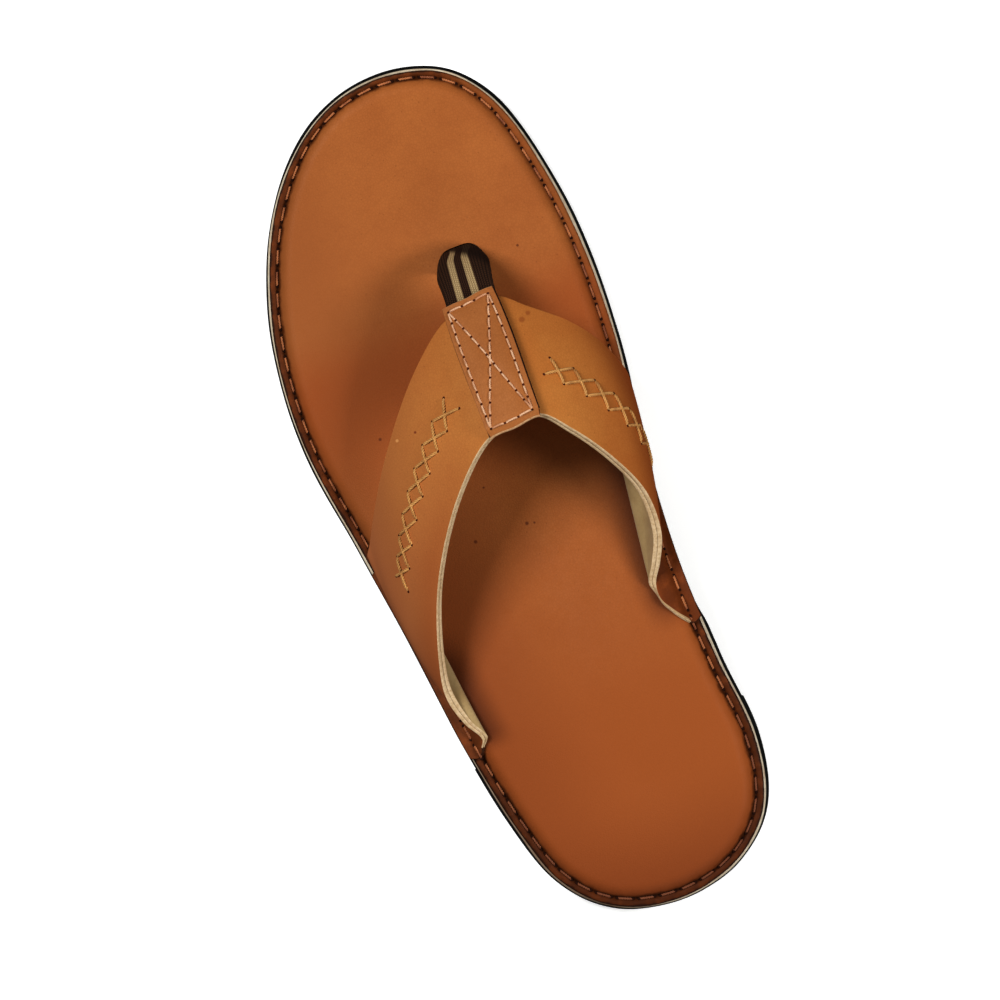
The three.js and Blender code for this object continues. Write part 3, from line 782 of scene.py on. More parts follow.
def strap_face(lines, depths):
    """Outer face of the strap on a grid of fold lines by depths from its back edge to its front edge."""
    lines = np.asarray(lines, dtype=float)
    depths = np.asarray(depths, dtype=float)
    folds = [flange_line("lateral", fold, depths) for fold in FLANGE_FOLDS]
    folds += [free_line(fold, depths) for fold in STRAP_FOLDS]
    folds += [flange_line("medial", fold, depths) for fold in reversed(FLANGE_FOLDS)]
    folds = np.array([2 * folds[0] - folds[1], *folds, 2 * folds[-1] - folds[-2]])
    row = np.clip(np.floor(lines).astype(int), 0, LAST_LINE - 1)
    part = (lines - row)[:, None, None]
    nearby = np.array([folds[row + ahead] for ahead in range(4)])
    before, here, after, later = nearby
    first, middle, last = np.sqrt(np.linalg.norm(np.diff(nearby, axis=0), axis=-1, keepdims=True))
    leave = ((here - before) / first - (after - before) / (first + middle) + (after - here) / middle) * middle
    reach = ((after - here) / middle - (later - here) / (middle + last) + (later - after) / last) * middle
    square = 3 * (after - here) - 2 * leave - reach
    cube = 2 * (here - after) + leave + reach
    return here + leave * part + square * part**2 + cube * part**3


def sheet_normals(grid):
    """Normals of a grid of points, upwards for rows that run medially and columns that run forwards."""
    return unit(np.cross(np.gradient(grid, axis=0), np.gradient(grid, axis=1)))


def soft_normals(grid, reach):
    """Normals of a grid, evened out from row to row, so that a tight fold keeps a clean inner face."""
    normals = sheet_normals(grid)
    ends = [normals[:1].repeat(reach, axis=0), normals, normals[-1:].repeat(reach, axis=0)]
    padded = np.concatenate(ends)
    weights = np.exp(-np.linspace(-2, 2, 2 * reach + 1) ** 2)
    return unit(sum(weight * padded[row:row + len(normals)] for row, weight in enumerate(weights)))


def sheet_solid(grid, under, over, edge_round, normals):
    """Sheet between two distances along the normals of a grid, with its cut edge rounded: points, faces,
    each face's kind (0 faces, 1 back edge, 2 side edges, 3 front edge), and the grid place of each face
    corner."""
    rows, columns = grid.shape[:2]
    size = rows * columns
    pulled = grid.copy()
    for end, inner in ((0, 1), (-1, -2)):
        pulled[end] += edge_round * unit(grid[inner] - grid[end])
        pulled[:, end] += edge_round * unit(grid[:, inner] - grid[:, end])
    under = np.broadcast_to(under, (rows, columns))[..., None]
    over = np.broadcast_to(over, (rows, columns))[..., None]
    border = [(row, 0) for row in range(rows)]
    border += [(rows - 1, column) for column in range(1, columns)]
    border += [(row, columns - 1) for row in range(rows - 2, -1, -1)]
    border += [(0, column) for column in range(columns - 2, 0, -1)]
    count = len(border)
    rim = tuple(np.array(border).T)
    upper = (grid + normals * (over - edge_round))[rim]
    lower = (grid + normals * (under + edge_round))[rim]
    tops, bottoms = pulled + normals * over, pulled + normals * under
    points = np.concatenate([tops.reshape(-1, 3), bottoms.reshape(-1, 3), upper, lower])
    faces, kinds, places = [], [], []
    for row in range(rows - 1):
        for column in range(columns - 1):
            cell = [(row, column), (row + 1, column), (row + 1, column + 1), (row, column + 1)]
            face = [down * columns + right for down, right in cell]
            faces += [face, [size + corner for corner in face[::-1]]]
            kinds += [0, 0]
            places += cell + cell[::-1]
    for here in range(count):
        ahead = (here + 1) % count
        (row, column), (next_row, next_column) = border[here], border[ahead]
        top = [row * columns + column, next_row * columns + next_column]
        high = [2 * size + here, 2 * size + ahead]
        low = [count + corner for corner in high]
        bottom = [size + corner for corner in top]
        side_edge = row == next_row and row in (0, rows - 1)
        kinds += [2 if side_edge else 1 if column == 0 else 3] * 3
        for above, below in ((top, high), (high, low), (low, bottom)):
            faces.append([below[0], below[1], above[1], above[0]])
            places += [border[here], border[ahead], border[ahead], border[here]]
    return points, faces, np.array(kinds), np.array(places)


def make_cut_edge(name, light, shade):
    """Raw cut edge of leather: fibrous, a little darker in streaks."""
    cut = Finish(name, 0.2)
    fibre = cut.noise(900, 5, 0.7)
    smear = cut.ramp(cut.noise(120, 4, 0.6), 0.4, 0.75)
    colour = cut.mix(cut.ramp(fibre, 0.35, 0.75), light, shade)
    colour = cut.mix(cut.times(smear, 0.5), colour, shade)
    return cut.done(colour, cut.ramp(fibre, 0.3, 0.7, 0.8, 0.95), cut.bump(fibre, 0.5, 0.2))


def strap_dye_and_shade(leather, colour):
    """Painted shade, redder and deeper, towards both feet and at the back of the outer wing; burnished brown
    where the feet are sewn down, a pale skived line at the back of the inner foot, and a few marks."""
    ramp, times, mix = leather.ramp, leather.times, leather.mix
    line, depth = leather.uv("strap")
    behind = times(ramp(depth, 0.4, 0.05), ramp(line, 10.5, 7.5))
    # Painted shade, redder and deeper, towards both feet and at the back of the outer wing
    colour = mix(ramp(line, 10.8, 5.4, 0.0, 0.95), colour, LATERAL_FOOT_SHADE)
    colour = mix(times(behind, 0.55), colour, LATERAL_BACK_SHADE)
    colour = mix(ramp(line, 12.8, 16.8), colour, MEDIAL_FOOT_SHADE)
    colour = add_spots(leather, colour, STRAP_SPOTS)
    brown, streak = add_burnish(leather)
    ragged = leather.plus(line, ramp(streak, 0.2, 0.8, -0.4, 0.4))
    sewn = leather.math("MAXIMUM", ramp(ragged, 4.9, 3.3), ramp(ragged, 17.9, 19.5))
    colour = mix(times(sewn, 0.8), colour, brown)
    turned = leather.band(line, (17.6, 18.2), (21.7, 21.4))
    return mix(times(turned, ramp(depth, 0.016, 0.012, 0.0, 0.9)), colour, CUT_SHADE)


strap_lines = np.linspace(0, LAST_LINE, LAST_LINE * LINE_STEPS + 1)
strap_depths = np.linspace(0, 1, DEPTH_STEPS + 1)
strap_grid = strap_face(strap_lines, strap_depths)
strap_normals = soft_normals(strap_grid, FOLD_REACH)
from_foot = np.minimum(strap_lines, LAST_LINE - strap_lines) - FIRST_FREE
strap_wall = (FLANGE_THICK + (STRAP_THICK - FLANGE_THICK) * np.clip(from_foot / SKIVED_FOLDS, 0, 1))[:, None]
leather_under = -LEATHER_SHARE * strap_wall
strap_leather = tan_leather("strap_leather", STRAP_TAN, STRAP_DEEP, strap_dye_and_shade)
cut_edge = make_cut_edge("cut_edge", CUT_CREAM, CUT_SHADE)
dyed_edge = make_cut_edge("dyed_edge", BURNISH_BROWN, BURNISH_DARK)


def edge_finish(kinds, places):
    """Material of each face of a sheet cut with the strap: pale at the back edge, dyed at the front edge and
    where the back edge lies under the rim seam."""
    line = strap_lines[places[::4, 0]]
    sewn = (line < DYED_LATERAL) | (line > DYED_MEDIAL)
    return np.where((kinds == 1) & sewn, 2, np.take((0, 1, 2, 2), kinds))


points, faces, kinds, places = sheet_solid(strap_grid, leather_under, 0.0, STRAP_EDGE_ROUND, strap_normals)
strap_finishes = [strap_leather, cut_edge, dyed_edge]
strap = add_piece("strap_upper", points, faces, strap_finishes, edge_finish(kinds, places))
add_uv(strap, "strap", np.column_stack([strap_lines[places[:, 0]], strap_depths[places[:, 1]]]))
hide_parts("strap")
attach(strap, "root")

# Lining: a pale split leather bonded under the strap, cut with it. It shows as a second pale line along
# the strap's edges and as the cream inside of its rear ends.
LINING_EDGE_ROUND = 0.8 * STRAP_EDGE_ROUND
LINING_CREAM = (170, 146, 104)
LINING_SHADE = (145, 119, 79)


def make_lining():
    """Cream split leather with a short nap."""
    split = Finish("cream_lining", 0.2, sheen=0.15)
    nap = split.noise(1500, 4, 0.7)
    colour = split.mix(split.ramp(split.noise(60, 4, 0.6), 0.35, 0.7), LINING_CREAM, LINING_SHADE)
    colour = split.mix(split.ramp(nap, 0.4, 0.8, 0.0, 0.4), colour, LINING_SHADE)
    return split.done(colour, split.ramp(nap, 0.3, 0.7, 0.82, 0.95), split.bump(nap, 0.4, 0.2))


lining_over = leather_under - BOND_LINE
lining_sheet = sheet_solid(strap_grid, -strap_wall, lining_over, LINING_EDGE_ROUND, strap_normals)
points, faces, kinds, places = lining_sheet
lining_finishes = [make_lining(), cut_edge, dyed_edge]
lining = add_piece("strap_lining", points, faces, lining_finishes, edge_finish(kinds, places))
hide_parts("strap")
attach(lining, "root")

# Rim seam: a running seam of waxed tan thread, soiled brown round the heel, that holds the footbed and the
# feet of the strap to the board. Long stitches lie in the crease between pairs of needle holes.
RIM_STRAND_RADIUS = 0.24
RIM_TWIST = 1.5
RIM_THREAD_STEP = 0.4
RIM_STITCH_RISE = 0.42
RIM_HOLE_RADIUS = 0.65
RIM_HOLE_FLATNESS = 0.4
STRAND_SIDES = 6
HOLE_SEGMENTS = 10
HOLE_RINGS = 5
SEAM_DEPTH = 0.5
SEAM_SAMPLES = 20
FOOT_LINES = 61
FOOT_DEPTHS = 301
FOOT_NEAR = 0.5
RIM_THREAD_TAN = (192, 122, 72)
RIM_THREAD_BROWN = (138, 76, 42)
RIM_THREAD_SOILED = (122, 66, 34)
HOLE_DARK = (44, 19, 10)

# Path of one stitch: share of its length, and lift as a share of its rise
STITCH_PATH = (
    (0.0, -1.5),
    (0.05, -0.2),
    (0.14, 0.75),
    (0.3, 1.0),
    (0.5, 1.05),
    (0.7, 1.0),
    (0.86, 0.75),
    (0.95, -0.2),
    (1.0, -1.5),
)


def make_thread(name, colour, other, soil_and_shade=None):
    """Waxed twisted thread with dye that varies along it, fine fibres, and soiling towards the heel."""
    thread = Finish(name, 0.5, sheen=0.05)
    fibre = thread.noise(3200, 3, 0.7)
    mixed = thread.mix(thread.ramp(thread.noise(160, 3, 0.6), 0.42, 0.68), colour, other)
    if soil_and_shade:
        along = thread.parts(thread.place)["Y"]
        mixed = thread.mix(thread.ramp(along, -0.055, -0.11, 0.0, 0.9), mixed, soil_and_shade)
    mixed = thread.mix(thread.ramp(fibre, 0.35, 0.8, 0.0, 0.35), mixed, HOLE_DARK)
    return thread.done(mixed, thread.ramp(fibre, 0.3, 0.7, 0.5, 0.72), thread.bump(fibre, 0.5, 0.1))


def make_needle_hole(name, dark):
    """Inside of a needle hole: dark, fibrous leather in shadow."""
    hole = Finish(name, 0.1)
    fibre = hole.noise(2500, 3, 0.7)
    colour = hole.mix(hole.ramp(fibre, 0.4, 0.8), dark, BURNISH_DARK)
    return hole.done(colour, hole.ramp(fibre, 0.3, 0.7, 0.85, 1.0), hole.bump(fibre, 0.6, 0.1))


def new_geometry_tree(name, sizes):
    """Geometry tree with a path, named sizes and a finish as its inputs, and its two end nodes."""
    tree = bpy.data.node_groups.new(name, "GeometryNodeTree")
    tree.interface.new_socket("Path", in_out="INPUT", socket_type="NodeSocketGeometry")
    for label, value in sizes.items():
        socket = tree.interface.new_socket(label, in_out="INPUT", socket_type="NodeSocketFloat")
        socket.default_value = value
    tree.interface.new_socket("Finish", in_out="INPUT", socket_type="NodeSocketMaterial")
    tree.interface.new_socket("Made", in_out="OUTPUT", socket_type="NodeSocketGeometry")
    return tree, tree.nodes.new("NodeGroupInput"), tree.nodes.new("NodeGroupOutput")


def close_tree(tree, shape, given, end):
    """Ends a tree in smooth shading, realized instances and the given finish."""
    smooth = add_node(tree, "GeometryNodeSetShadeSmooth", {"Geometry": shape})
    real = add_node(tree, "GeometryNodeRealizeInstances", {"Geometry": smooth.outputs[0]})
    inputs = {"Geometry": real.outputs[0], "Material": given.outputs["Finish"]}
    tree.links.new(add_node(tree, "GeometryNodeSetMaterial", inputs).outputs[0], end.inputs["Made"])


def thread_tree():
    """Two strands twisted round every path of edges."""
    sizes = {"Strand Radius": 0.3 * MM, "Twist Length": 2 * MM, "Step Length": 0.3 * MM}
    tree, given, end = new_geometry_tree("Twisted thread", sizes)
    radius = given.outputs["Strand Radius"]
    curve = add_node(tree, "GeometryNodeMeshToCurve", {"Mesh": given.outputs["Path"]}).outputs[0]
    inputs = {"Curve": curve, "Length": given.outputs["Step Length"]}
    path = add_node(tree, "GeometryNodeResampleCurve", inputs, mode="LENGTH").outputs[0]
    run = add_node(tree, "GeometryNodeSplineParameter").outputs["Length"]
    turns = add_math(tree, "DIVIDE", run, given.outputs["Twist Length"])
    angle = add_math(tree, "MULTIPLY", turns, 2 * math.pi)
    normal = add_node(tree, "GeometryNodeInputNormal").outputs[0]
    tangent = add_node(tree, "GeometryNodeInputTangent").outputs[0]
    side = add_vector(tree, "CROSS_PRODUCT", {0: tangent, 1: normal})[0]
    inputs = {"Resolution": STRAND_SIDES, "Radius": radius}
    circle = add_node(tree, "GeometryNodeCurvePrimitiveCircle", inputs)
    strands = add_node(tree, "GeometryNodeJoinGeometry")
    for phase in (0.0, math.pi):
        turn = add_math(tree, "ADD", angle, phase)
        swing = []
        for axis, wave in ((normal, "COSINE"), (side, "SINE")):
            reach = add_math(tree, "MULTIPLY", add_math(tree, wave, turn), radius)
            swing.append(add_vector(tree, "SCALE", {0: axis, "Scale": reach})[0])
        offset = add_vector(tree, "ADD", dict(enumerate(swing)))[0]
        strand = add_node(tree, "GeometryNodeSetPosition", {"Geometry": path, "Offset": offset}).outputs[0]
        tube = {"Curve": strand, "Profile Curve": circle.outputs[0], "Fill Caps": True}
        tree.links.new(add_node(tree, "GeometryNodeCurveToMesh", tube).outputs[0], strands.inputs[0])
    close_tree(tree, strands.outputs[0], given, end)
    return tree


def hole_tree():
    """A small flattened dimple at every point, facing along the point's `facing` attribute."""
    tree, given, end = new_geometry_tree("Needle holes", {"Hole Radius": 0.4 * MM, "Flatness": 0.25})
    radius = given.outputs["Hole Radius"]
    points = add_node(tree, "GeometryNodeMeshToPoints", {"Mesh": given.outputs["Path"]}).outputs[0]
    facing = add_node(tree, "GeometryNodeInputNamedAttribute", {"Name": "facing"}, data_type="FLOAT_VECTOR")
    inputs = {"Vector": facing.outputs[0]}
    turn = add_node(tree, "FunctionNodeAlignRotationToVector", inputs, axis="Z").outputs[0]
    inputs = {"Segments": HOLE_SEGMENTS, "Rings": HOLE_RINGS, "Radius": 1.0}
    ball = add_node(tree, "GeometryNodeMeshUVSphere", inputs).outputs[0]
    flat = add_math(tree, "MULTIPLY", radius, given.outputs["Flatness"])
    scale = add_node(tree, "ShaderNodeCombineXYZ", {0: radius, 1: radius, 2: flat}).outputs[0]
    inputs = {"Points": points, "Instance": ball, "Rotation": turn, "Scale": scale}
    close_tree(tree, add_node(tree, "GeometryNodeInstanceOnPoints", inputs).outputs[0], given, end)
    return tree


def grow(name, tree, points, edges, finish, sizes, facing=None):
    """Piece that a geometry tree makes on points (and paths of edges) in millimetres."""
    mesh = bpy.data.meshes.new(name)
    mesh.from_pydata(((np.asarray(points) + FRAME_SHIFT) * MM).tolist(), edges, [])
    if facing is not None:
        layer = mesh.attributes.new("facing", "FLOAT_VECTOR", "POINT")
        layer.data.foreach_set("vector", np.asarray(facing, dtype=np.float32).ravel())
    piece = bpy.data.objects.new(name, mesh)
    bpy.context.scene.collection.objects.link(piece)
    modifier = piece.modifiers.new(tree.name, "NODES")
    modifier.node_group = tree
    named = {item.name: item.identifier for item in tree.interface.items_tree if item.in_out == "INPUT"}
    for label, value in sizes.items():
        modifier[named[label]] = value
    modifier[named["Finish"]] = finish
    apply_modifiers(piece)
    return piece


twisted_thread = thread_tree()
needle_holes = hole_tree()


def sew(name, stitches, finish, rise, radius, twist, sample):
    """Twisted thread along stitches of (start, end, outward normal), each arched by a rise."""
    points, edges = [], []
    for start, stop, outward in stitches:
        first = len(points)
        for share, lift in STITCH_PATH:
            points.append(start + (stop - start) * share + outward * rise * lift)
        edges += [(step, step + 1) for step in range(first, len(points) - 1)]
    sizes = {"Strand Radius": radius * MM, "Twist Length": twist * MM, "Step Length": sample * MM}
    return grow(name, twisted_thread, points, edges, finish, sizes)


def punch(name, holes, finish, radius, flatness):
    """Needle holes at points with the normals they face along."""
    points, facing = zip(*holes)
    sizes = {"Hole Radius": radius * MM, "Flatness": flatness}
    return grow(name, needle_holes, points, [], finish, sizes, facing)


# The seam runs over the feet of the strap, so its height there is that of the turned-out leather
seam_run_steps, _ = seam_steps(STITCH_COUNT * SEAM_SAMPLES)
seam_plan = sole_inset(seam_run_steps, SEAM_INSET)
seam_height = sole_rise(seam_plan[:, 1]) + RIM_LIFT - SEAM_DEPTH
foot_lines = np.linspace(0, FIRST_FREE, FOOT_LINES)
foot_lines = np.concatenate([foot_lines, LAST_LINE - foot_lines])
foot_faces = strap_face(foot_lines, np.linspace(0, 1, FOOT_DEPTHS)).reshape(-1, 3)
for sample, plan in enumerate(seam_plan):
    away = np.hypot(*(foot_faces[:, :2] - plan).T)
    if away.min() < FOOT_NEAR:
        seam_height[sample] = foot_faces[away.argmin(), 2]
seam_points = np.column_stack([seam_plan, seam_height])
rim_stitches, rim_holes = [], []
upright = np.array([0.0, 0.0, 1.0])
for stitch in range(STITCH_COUNT):
    ends = (stitch + needle_share, stitch + 1 - needle_share)
    start, stop = (seam_points[round(end * SEAM_SAMPLES) % len(seam_points)] for end in ends)
    rim_stitches.append((start, stop, upright))
    rim_holes += [(start, upright), (stop, upright)]
needle_hole = make_needle_hole("needle_hole", HOLE_DARK)
rim_thread = make_thread("rim_thread", RIM_THREAD_TAN, RIM_THREAD_BROWN, RIM_THREAD_SOILED)
rim_sizes = (RIM_STITCH_RISE, RIM_STRAND_RADIUS, RIM_TWIST, RIM_THREAD_STEP)
rim_seam = sew("rim_seam", rim_stitches, rim_thread, *rim_sizes)
rim_seam_holes = punch("rim_needle_holes", rim_holes, needle_hole, RIM_HOLE_RADIUS, RIM_HOLE_FLATNESS)
for piece in (rim_seam, rim_seam_holes):
    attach(piece, "root")

# Cross stitches: gold thread laced by hand in a row of crosses along the middle of either wing of the
# strap, through two rows of punched holes.
CROSS_BACK_DEPTH = 0.38
CROSS_FRONT_DEPTH = 0.565
CROSS_ROWS = (
    {"first_line": 9.46, "direction": -1, "pitches": (8.6, 6.9), "pairs": 9, "lean": 0.2},
    {"first_line": 13.02, "direction": 1, "pitches": (8.7, 7.4), "pairs": 7, "lean": 0.4},
)
WING_REACH = 9
WING_SAMPLES = 900
CROSS_STRAND_RADIUS = 0.29
CROSS_TWIST = 1.8
CROSS_THREAD_STEP = 0.35
CROSS_RISE = 0.55
CROSS_HOLE_RADIUS = 0.5
CROSS_HOLE_FLATNESS = 0.3
GOLD_THREAD = (209, 158, 90)
GOLD_SHADE = (174, 121, 60)
CROSS_HOLE = (84, 38, 20)


def on_strap(line, depth, lift=0.0):
    """Point of the strap's outer face, lifted along its normal, and that normal."""
    near = 0.02
    grid = strap_face([line - near, line, line + near], [depth - near, depth, depth + near])
    normal = sheet_normals(grid)[1, 1]
    return grid[1, 1] + normal * lift, normal


def along_wing(first_line, direction, pitches, pairs):
    """Fold lines of a wing's front row of holes, from the tab to its foot, at pitches that close up."""
    fine = first_line + direction * np.linspace(0, WING_REACH, WING_SAMPLES)
    fine = fine[(fine > 0) & (fine < LAST_LINE)]
    run = run_along(strap_face(fine, [CROSS_FRONT_DEPTH])[:, 0])
    return np.interp(np.concatenate([[0], np.cumsum(np.linspace(*pitches, pairs - 1))]), run, fine)


cross_stitches, cross_holes = [], []
for row in CROSS_ROWS:
    lines = along_wing(row["first_line"], row["direction"], row["pitches"], row["pairs"])
    front = [on_strap(line, CROSS_FRONT_DEPTH) for line in lines]
    back = [on_strap(line - row["direction"] * row["lean"], CROSS_BACK_DEPTH) for line in lines]
    for pair in range(row["pairs"] - 1):
        for start, stop in ((front[pair], back[pair + 1]), (back[pair], front[pair + 1])):
            cross_stitches.append((start[0], stop[0], unit(start[1] + stop[1])))
    cross_holes += front + back
gold_thread = make_thread("gold_thread", GOLD_THREAD, GOLD_SHADE)
cross_hole = make_needle_hole("cross_hole", CROSS_HOLE)
cross_sizes = (CROSS_RISE, CROSS_STRAND_RADIUS, CROSS_TWIST, CROSS_THREAD_STEP)
cross_seam = sew("cross_stitches", cross_stitches, gold_thread, *cross_sizes)
cross_seam_holes = punch("cross_holes", cross_holes, cross_hole, CROSS_HOLE_RADIUS, CROSS_HOLE_FLATNESS)
for piece in (cross_seam, cross_seam_holes):
    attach(piece, "root")

# Toe loop: woven dark brown webbing with two beige stripes. Its sewn end lies under the tab along the
# strap's ridge and shows beside it; it bends over the front edge and goes down into the footbed's slot.
LOOP_BACK = 0.04
LOOP_SHIFT = 0.95
LOOP_SWAY = 1.1
LOOP_SPREAD = 1.9
LOOP_LEAD = 10.0
LOOP_DROP = 15.0
LOOP_ACROSS_STEPS = 24
LOOP_STRAP_STEPS = 48
LOOP_FREE_STEPS = 64
LOOP_SUNK_STEPS = 6
WEBBING_EDGE_ROUND = 0.45
WEBBING_RIB = 0.85
WARP_PITCH = WEBBING_RIB * 0.8
WEBBING_BROWN = (66, 42, 27)
WEBBING_DARK = (20, 11, 7)
# Painted shade where the webbing turns down into the slot
WEBBING_PAINTED_SHADE = (30, 17, 11)
STRIPE_BEIGE = (186, 162, 120)
STRIPE_SHADE = (140, 113, 77)
STRIPES = ((3.9, 6.3), (9.2, 11.6))
STRIPE_BLUR = 0.15
STRIPED_WIDTH = 16.2
STRIPE_END = 217.3


def loop_line(across):
    """Inner face of the webbing along one lengthwise line: on the strap, free, and sunk in the slot."""
    ridge_end = strap_face([RIDGE_LINE, RIDGE_LINE + 1], [1.0])[:, 0]
    spacing = np.linalg.norm(ridge_end[1] - ridge_end[0])
    depths = np.linspace(LOOP_BACK, 1, LOOP_STRAP_STEPS + 1)
    beside = across * WEBBING_WIDTH / 2 + LOOP_SHIFT
    on_top = strap_face([RIDGE_LINE + beside / spacing], depths)[0]
    edge = on_top[-1]
    lead = edge + unit(edge - on_top[-2]) * LOOP_LEAD + (LOOP_SWAY, 0, 0)
    entry = loop_entry(across)
    above = entry + (across * LOOP_SPREAD, 0, LOOP_DROP)
    part = np.linspace(0, 1, LOOP_FREE_STEPS + 1)[1:, None]
    rest = 1 - part
    free = rest**3 * edge + 3 * rest**2 * part * lead + 3 * rest * part**2 * above + part**3 * entry
    sunk = entry[2] - sole_rise(entry[1]) - FOOTBED_LIFT
    down = entry - np.linspace(0, sunk, LOOP_SUNK_STEPS + 1)[1:, None] * (0, 0, 1)
    return np.concatenate([on_top, free, down])


def make_webbing(dive):
    """Ribbed webbing: weft ribs across it, warp yarns along it, two beige stripes, and painted shade where it
    turns down into the slot.
    """
    webbing = Finish("striped_webbing", 0.12)
    ramp, times, mix, math_of = webbing.ramp, webbing.times, webbing.mix, webbing.math
    across, along = webbing.uv("webbing")
    column = math_of("FLOOR", math_of("DIVIDE", across, WARP_PITCH))
    rib_turn = webbing.plus(math_of("DIVIDE", along, WEBBING_RIB), times(column, 0.5))
    rib = math_of("ABSOLUTE", math_of("SINE", times(rib_turn, math.pi)))
    warp = math_of("ABSOLUTE", math_of("SINE", times(across, math.pi / WARP_PITCH)))
    weave = times(math_of("SQRT", rib), math_of("SQRT", warp))
    fuzz = webbing.noise(2600, 4, 0.7)
    colour = mix(ramp(weave, 0.25, 0.8), WEBBING_DARK, WEBBING_BROWN)
    pale = mix(ramp(weave, 0.2, 0.8), STRIPE_SHADE, STRIPE_BEIGE)
    leaning = math_of("SUBTRACT", across, ramp(along, dive - 1.0, dive + 7.0, 0.0, 1.5))
    for low, high in STRIPES:
        rise = (low - STRIPE_BLUR, low + STRIPE_BLUR)
        fall = (high + STRIPE_BLUR, high - STRIPE_BLUR)
        colour = mix(webbing.band(leaning, rise, fall), colour, pale)
    # Painted shade on the part that turns down into the slot, on a slant across the webbing
    soil_and_shade = webbing.plus(along, times(across, 1.38))
    colour = mix(ramp(soil_and_shade, dive + 12.0, dive + 18.0, 0.0, 0.95), colour, WEBBING_PAINTED_SHADE)
    colour = mix(ramp(fuzz, 0.45, 0.8, 0.0, 0.3), colour, WEBBING_DARK)
    bump = webbing.bump(webbing.plus(weave, times(fuzz, 0.3)), 0.7, 0.3)
    return webbing.done(colour, ramp(weave, 0, 1, 0.92, 0.78), bump)


loop_grid = np.array([loop_line(across) for across in np.linspace(-1, 1, LOOP_ACROSS_STEPS + 1)])
loop_middle = loop_grid[LOOP_ACROSS_STEPS // 2]
loop_run = run_along(loop_middle)
loop_u = np.linspace(0, STRIPED_WIDTH, LOOP_ACROSS_STEPS + 1)
striped_webbing = make_webbing(np.interp(STRIPE_END, np.maximum.accumulate(loop_middle[:, 1]), loop_run))
webbing_top = WEBBING_GAP + WEBBING_THICK
loop_sheet = sheet_solid(loop_grid, WEBBING_GAP, webbing_top, WEBBING_EDGE_ROUND, sheet_normals(loop_grid))
points, faces, kinds, places = loop_sheet
toe_loop = add_piece("toe_loop_webbing", points, faces, [striped_webbing])
add_uv(toe_loop, "webbing", np.column_stack([loop_u[places[:, 0]], loop_run[places[:, 1]]]))
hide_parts("toe_loop")
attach(toe_loop, "root")

# Tab: a rectangle of the same leather along the strap's ridge, over the webbing's end. It is sewn round
# its edge and across both diagonals, so it puffs up a little between the seams.
TAB_THICK = 1.5
TAB_SPAN = 0.95
TAB_BACK = -0.03
TAB_FRONT = 1.025
TAB_SHOULDER = 0.92
TAB_LIP = 2.8
TAB_LIP_DROP = 0.85
TAB_EDGE_ROUND = 0.3
TAB_ACROSS_STEPS = 56
TAB_ALONG_STEPS = 140
TAB_SEAM_INSET = 2.0
TAB_SEAM_END = 2.2
TAB_PUFF = 0.28
TAB_PUFF_REACH = 1.1
TAB_TAN = (169, 109, 60)
TAB_DEEP = (155, 96, 50)
TAB_EDGE = (226, 190, 146)
TAB_EDGE_SHADE = (180, 128, 84)

tab_shares = np.linspace(-1, 1, TAB_ACROSS_STEPS + 1)
tab_depths = np.linspace(TAB_BACK, TAB_FRONT, TAB_ALONG_STEPS + 1)
tab_grid = strap_face(RIDGE_LINE + tab_shares * TAB_SPAN, tab_depths)
tab_run = run_along(tab_grid[TAB_ACROSS_STEPS // 2])
tab_half = np.linalg.norm(np.diff(tab_grid, axis=0), axis=-1).sum(axis=0).mean() / 2
seam_half = tab_half - TAB_SEAM_INSET
seam_back, seam_front = TAB_SEAM_END, tab_run[-1] - TAB_SEAM_END
TAB_SEAMS = (
    ((-seam_half, seam_back), (seam_half, seam_back)),
    ((seam_half, seam_back), (seam_half, seam_front)),
    ((seam_half, seam_front), (-seam_half, seam_front)),
    ((-seam_half, seam_front), (-seam_half, seam_back)),
    ((-seam_half, seam_back), (seam_half, seam_front)),
    ((seam_half, seam_back), (-seam_half, seam_front)),
)


def tab_seat(share, run):
    """Height of the tab's underside above the strap: held up by the webbing, which shows beside its medial
    edge, down at its lateral edge, and drawn down behind the webbing's end."""
    over = webbing_top * (1 - smooth_step(-share, TAB_SHOULDER, 1))
    return WEBBING_GAP + over * (1 - TAB_LIP_DROP * smooth_step(run, TAB_LIP, 0))


def tab_top(share, u, v):
    """Height of the tab's outer face above the strap, drawn down along its seams."""
    nearest = np.full(np.broadcast(u, v).shape, 1e9)
    for start, stop in TAB_SEAMS:
        start, run = np.array(start), np.array(stop) - np.array(start)
        part = np.clip(((u - start[0]) * run[0] + (v - start[1]) * run[1]) / (run @ run), 0, 1)
        nearest = np.minimum(nearest, np.hypot(u - start[0] - part * run[0], v - start[1] - part * run[1]))
    return tab_seat(share, v) + TAB_THICK - TAB_PUFF * np.exp(-((nearest / TAB_PUFF_REACH) ** 2))


def tab_dye(leather, colour):
    """Edge dye along the tab's lateral edge."""
    across, _ = leather.uv("tab")
    lateral = leather.ramp(across, 0.85 - tab_half, 0.35 - tab_half, 0.0, 0.85)
    return leather.mix(lateral, colour, BURNISH_DARK)


tab_under = tab_seat(tab_shares[:, None], tab_run[None, :])
tab_over = tab_top(tab_shares[:, None], tab_shares[:, None] * tab_half, tab_run[None, :])
tab_sheet = sheet_solid(tab_grid, tab_under, tab_over, TAB_EDGE_ROUND, sheet_normals(tab_grid))
points, faces, kinds, places = tab_sheet
tab_leather = tan_leather("tab_leather", TAB_TAN, TAB_DEEP, tab_dye)
tab_edge = make_cut_edge("tab_edge", TAB_EDGE, TAB_EDGE_SHADE)
tab_finishes = [tab_leather, tab_edge, dyed_edge]
tab = add_piece("ridge_tab", points, faces, tab_finishes, np.take((0, 1, 2, 1), kinds))
add_uv(tab, "tab", np.column_stack([tab_shares[places[:, 0]] * tab_half, tab_run[places[:, 1]]]))
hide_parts("tab")
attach(tab, "root")

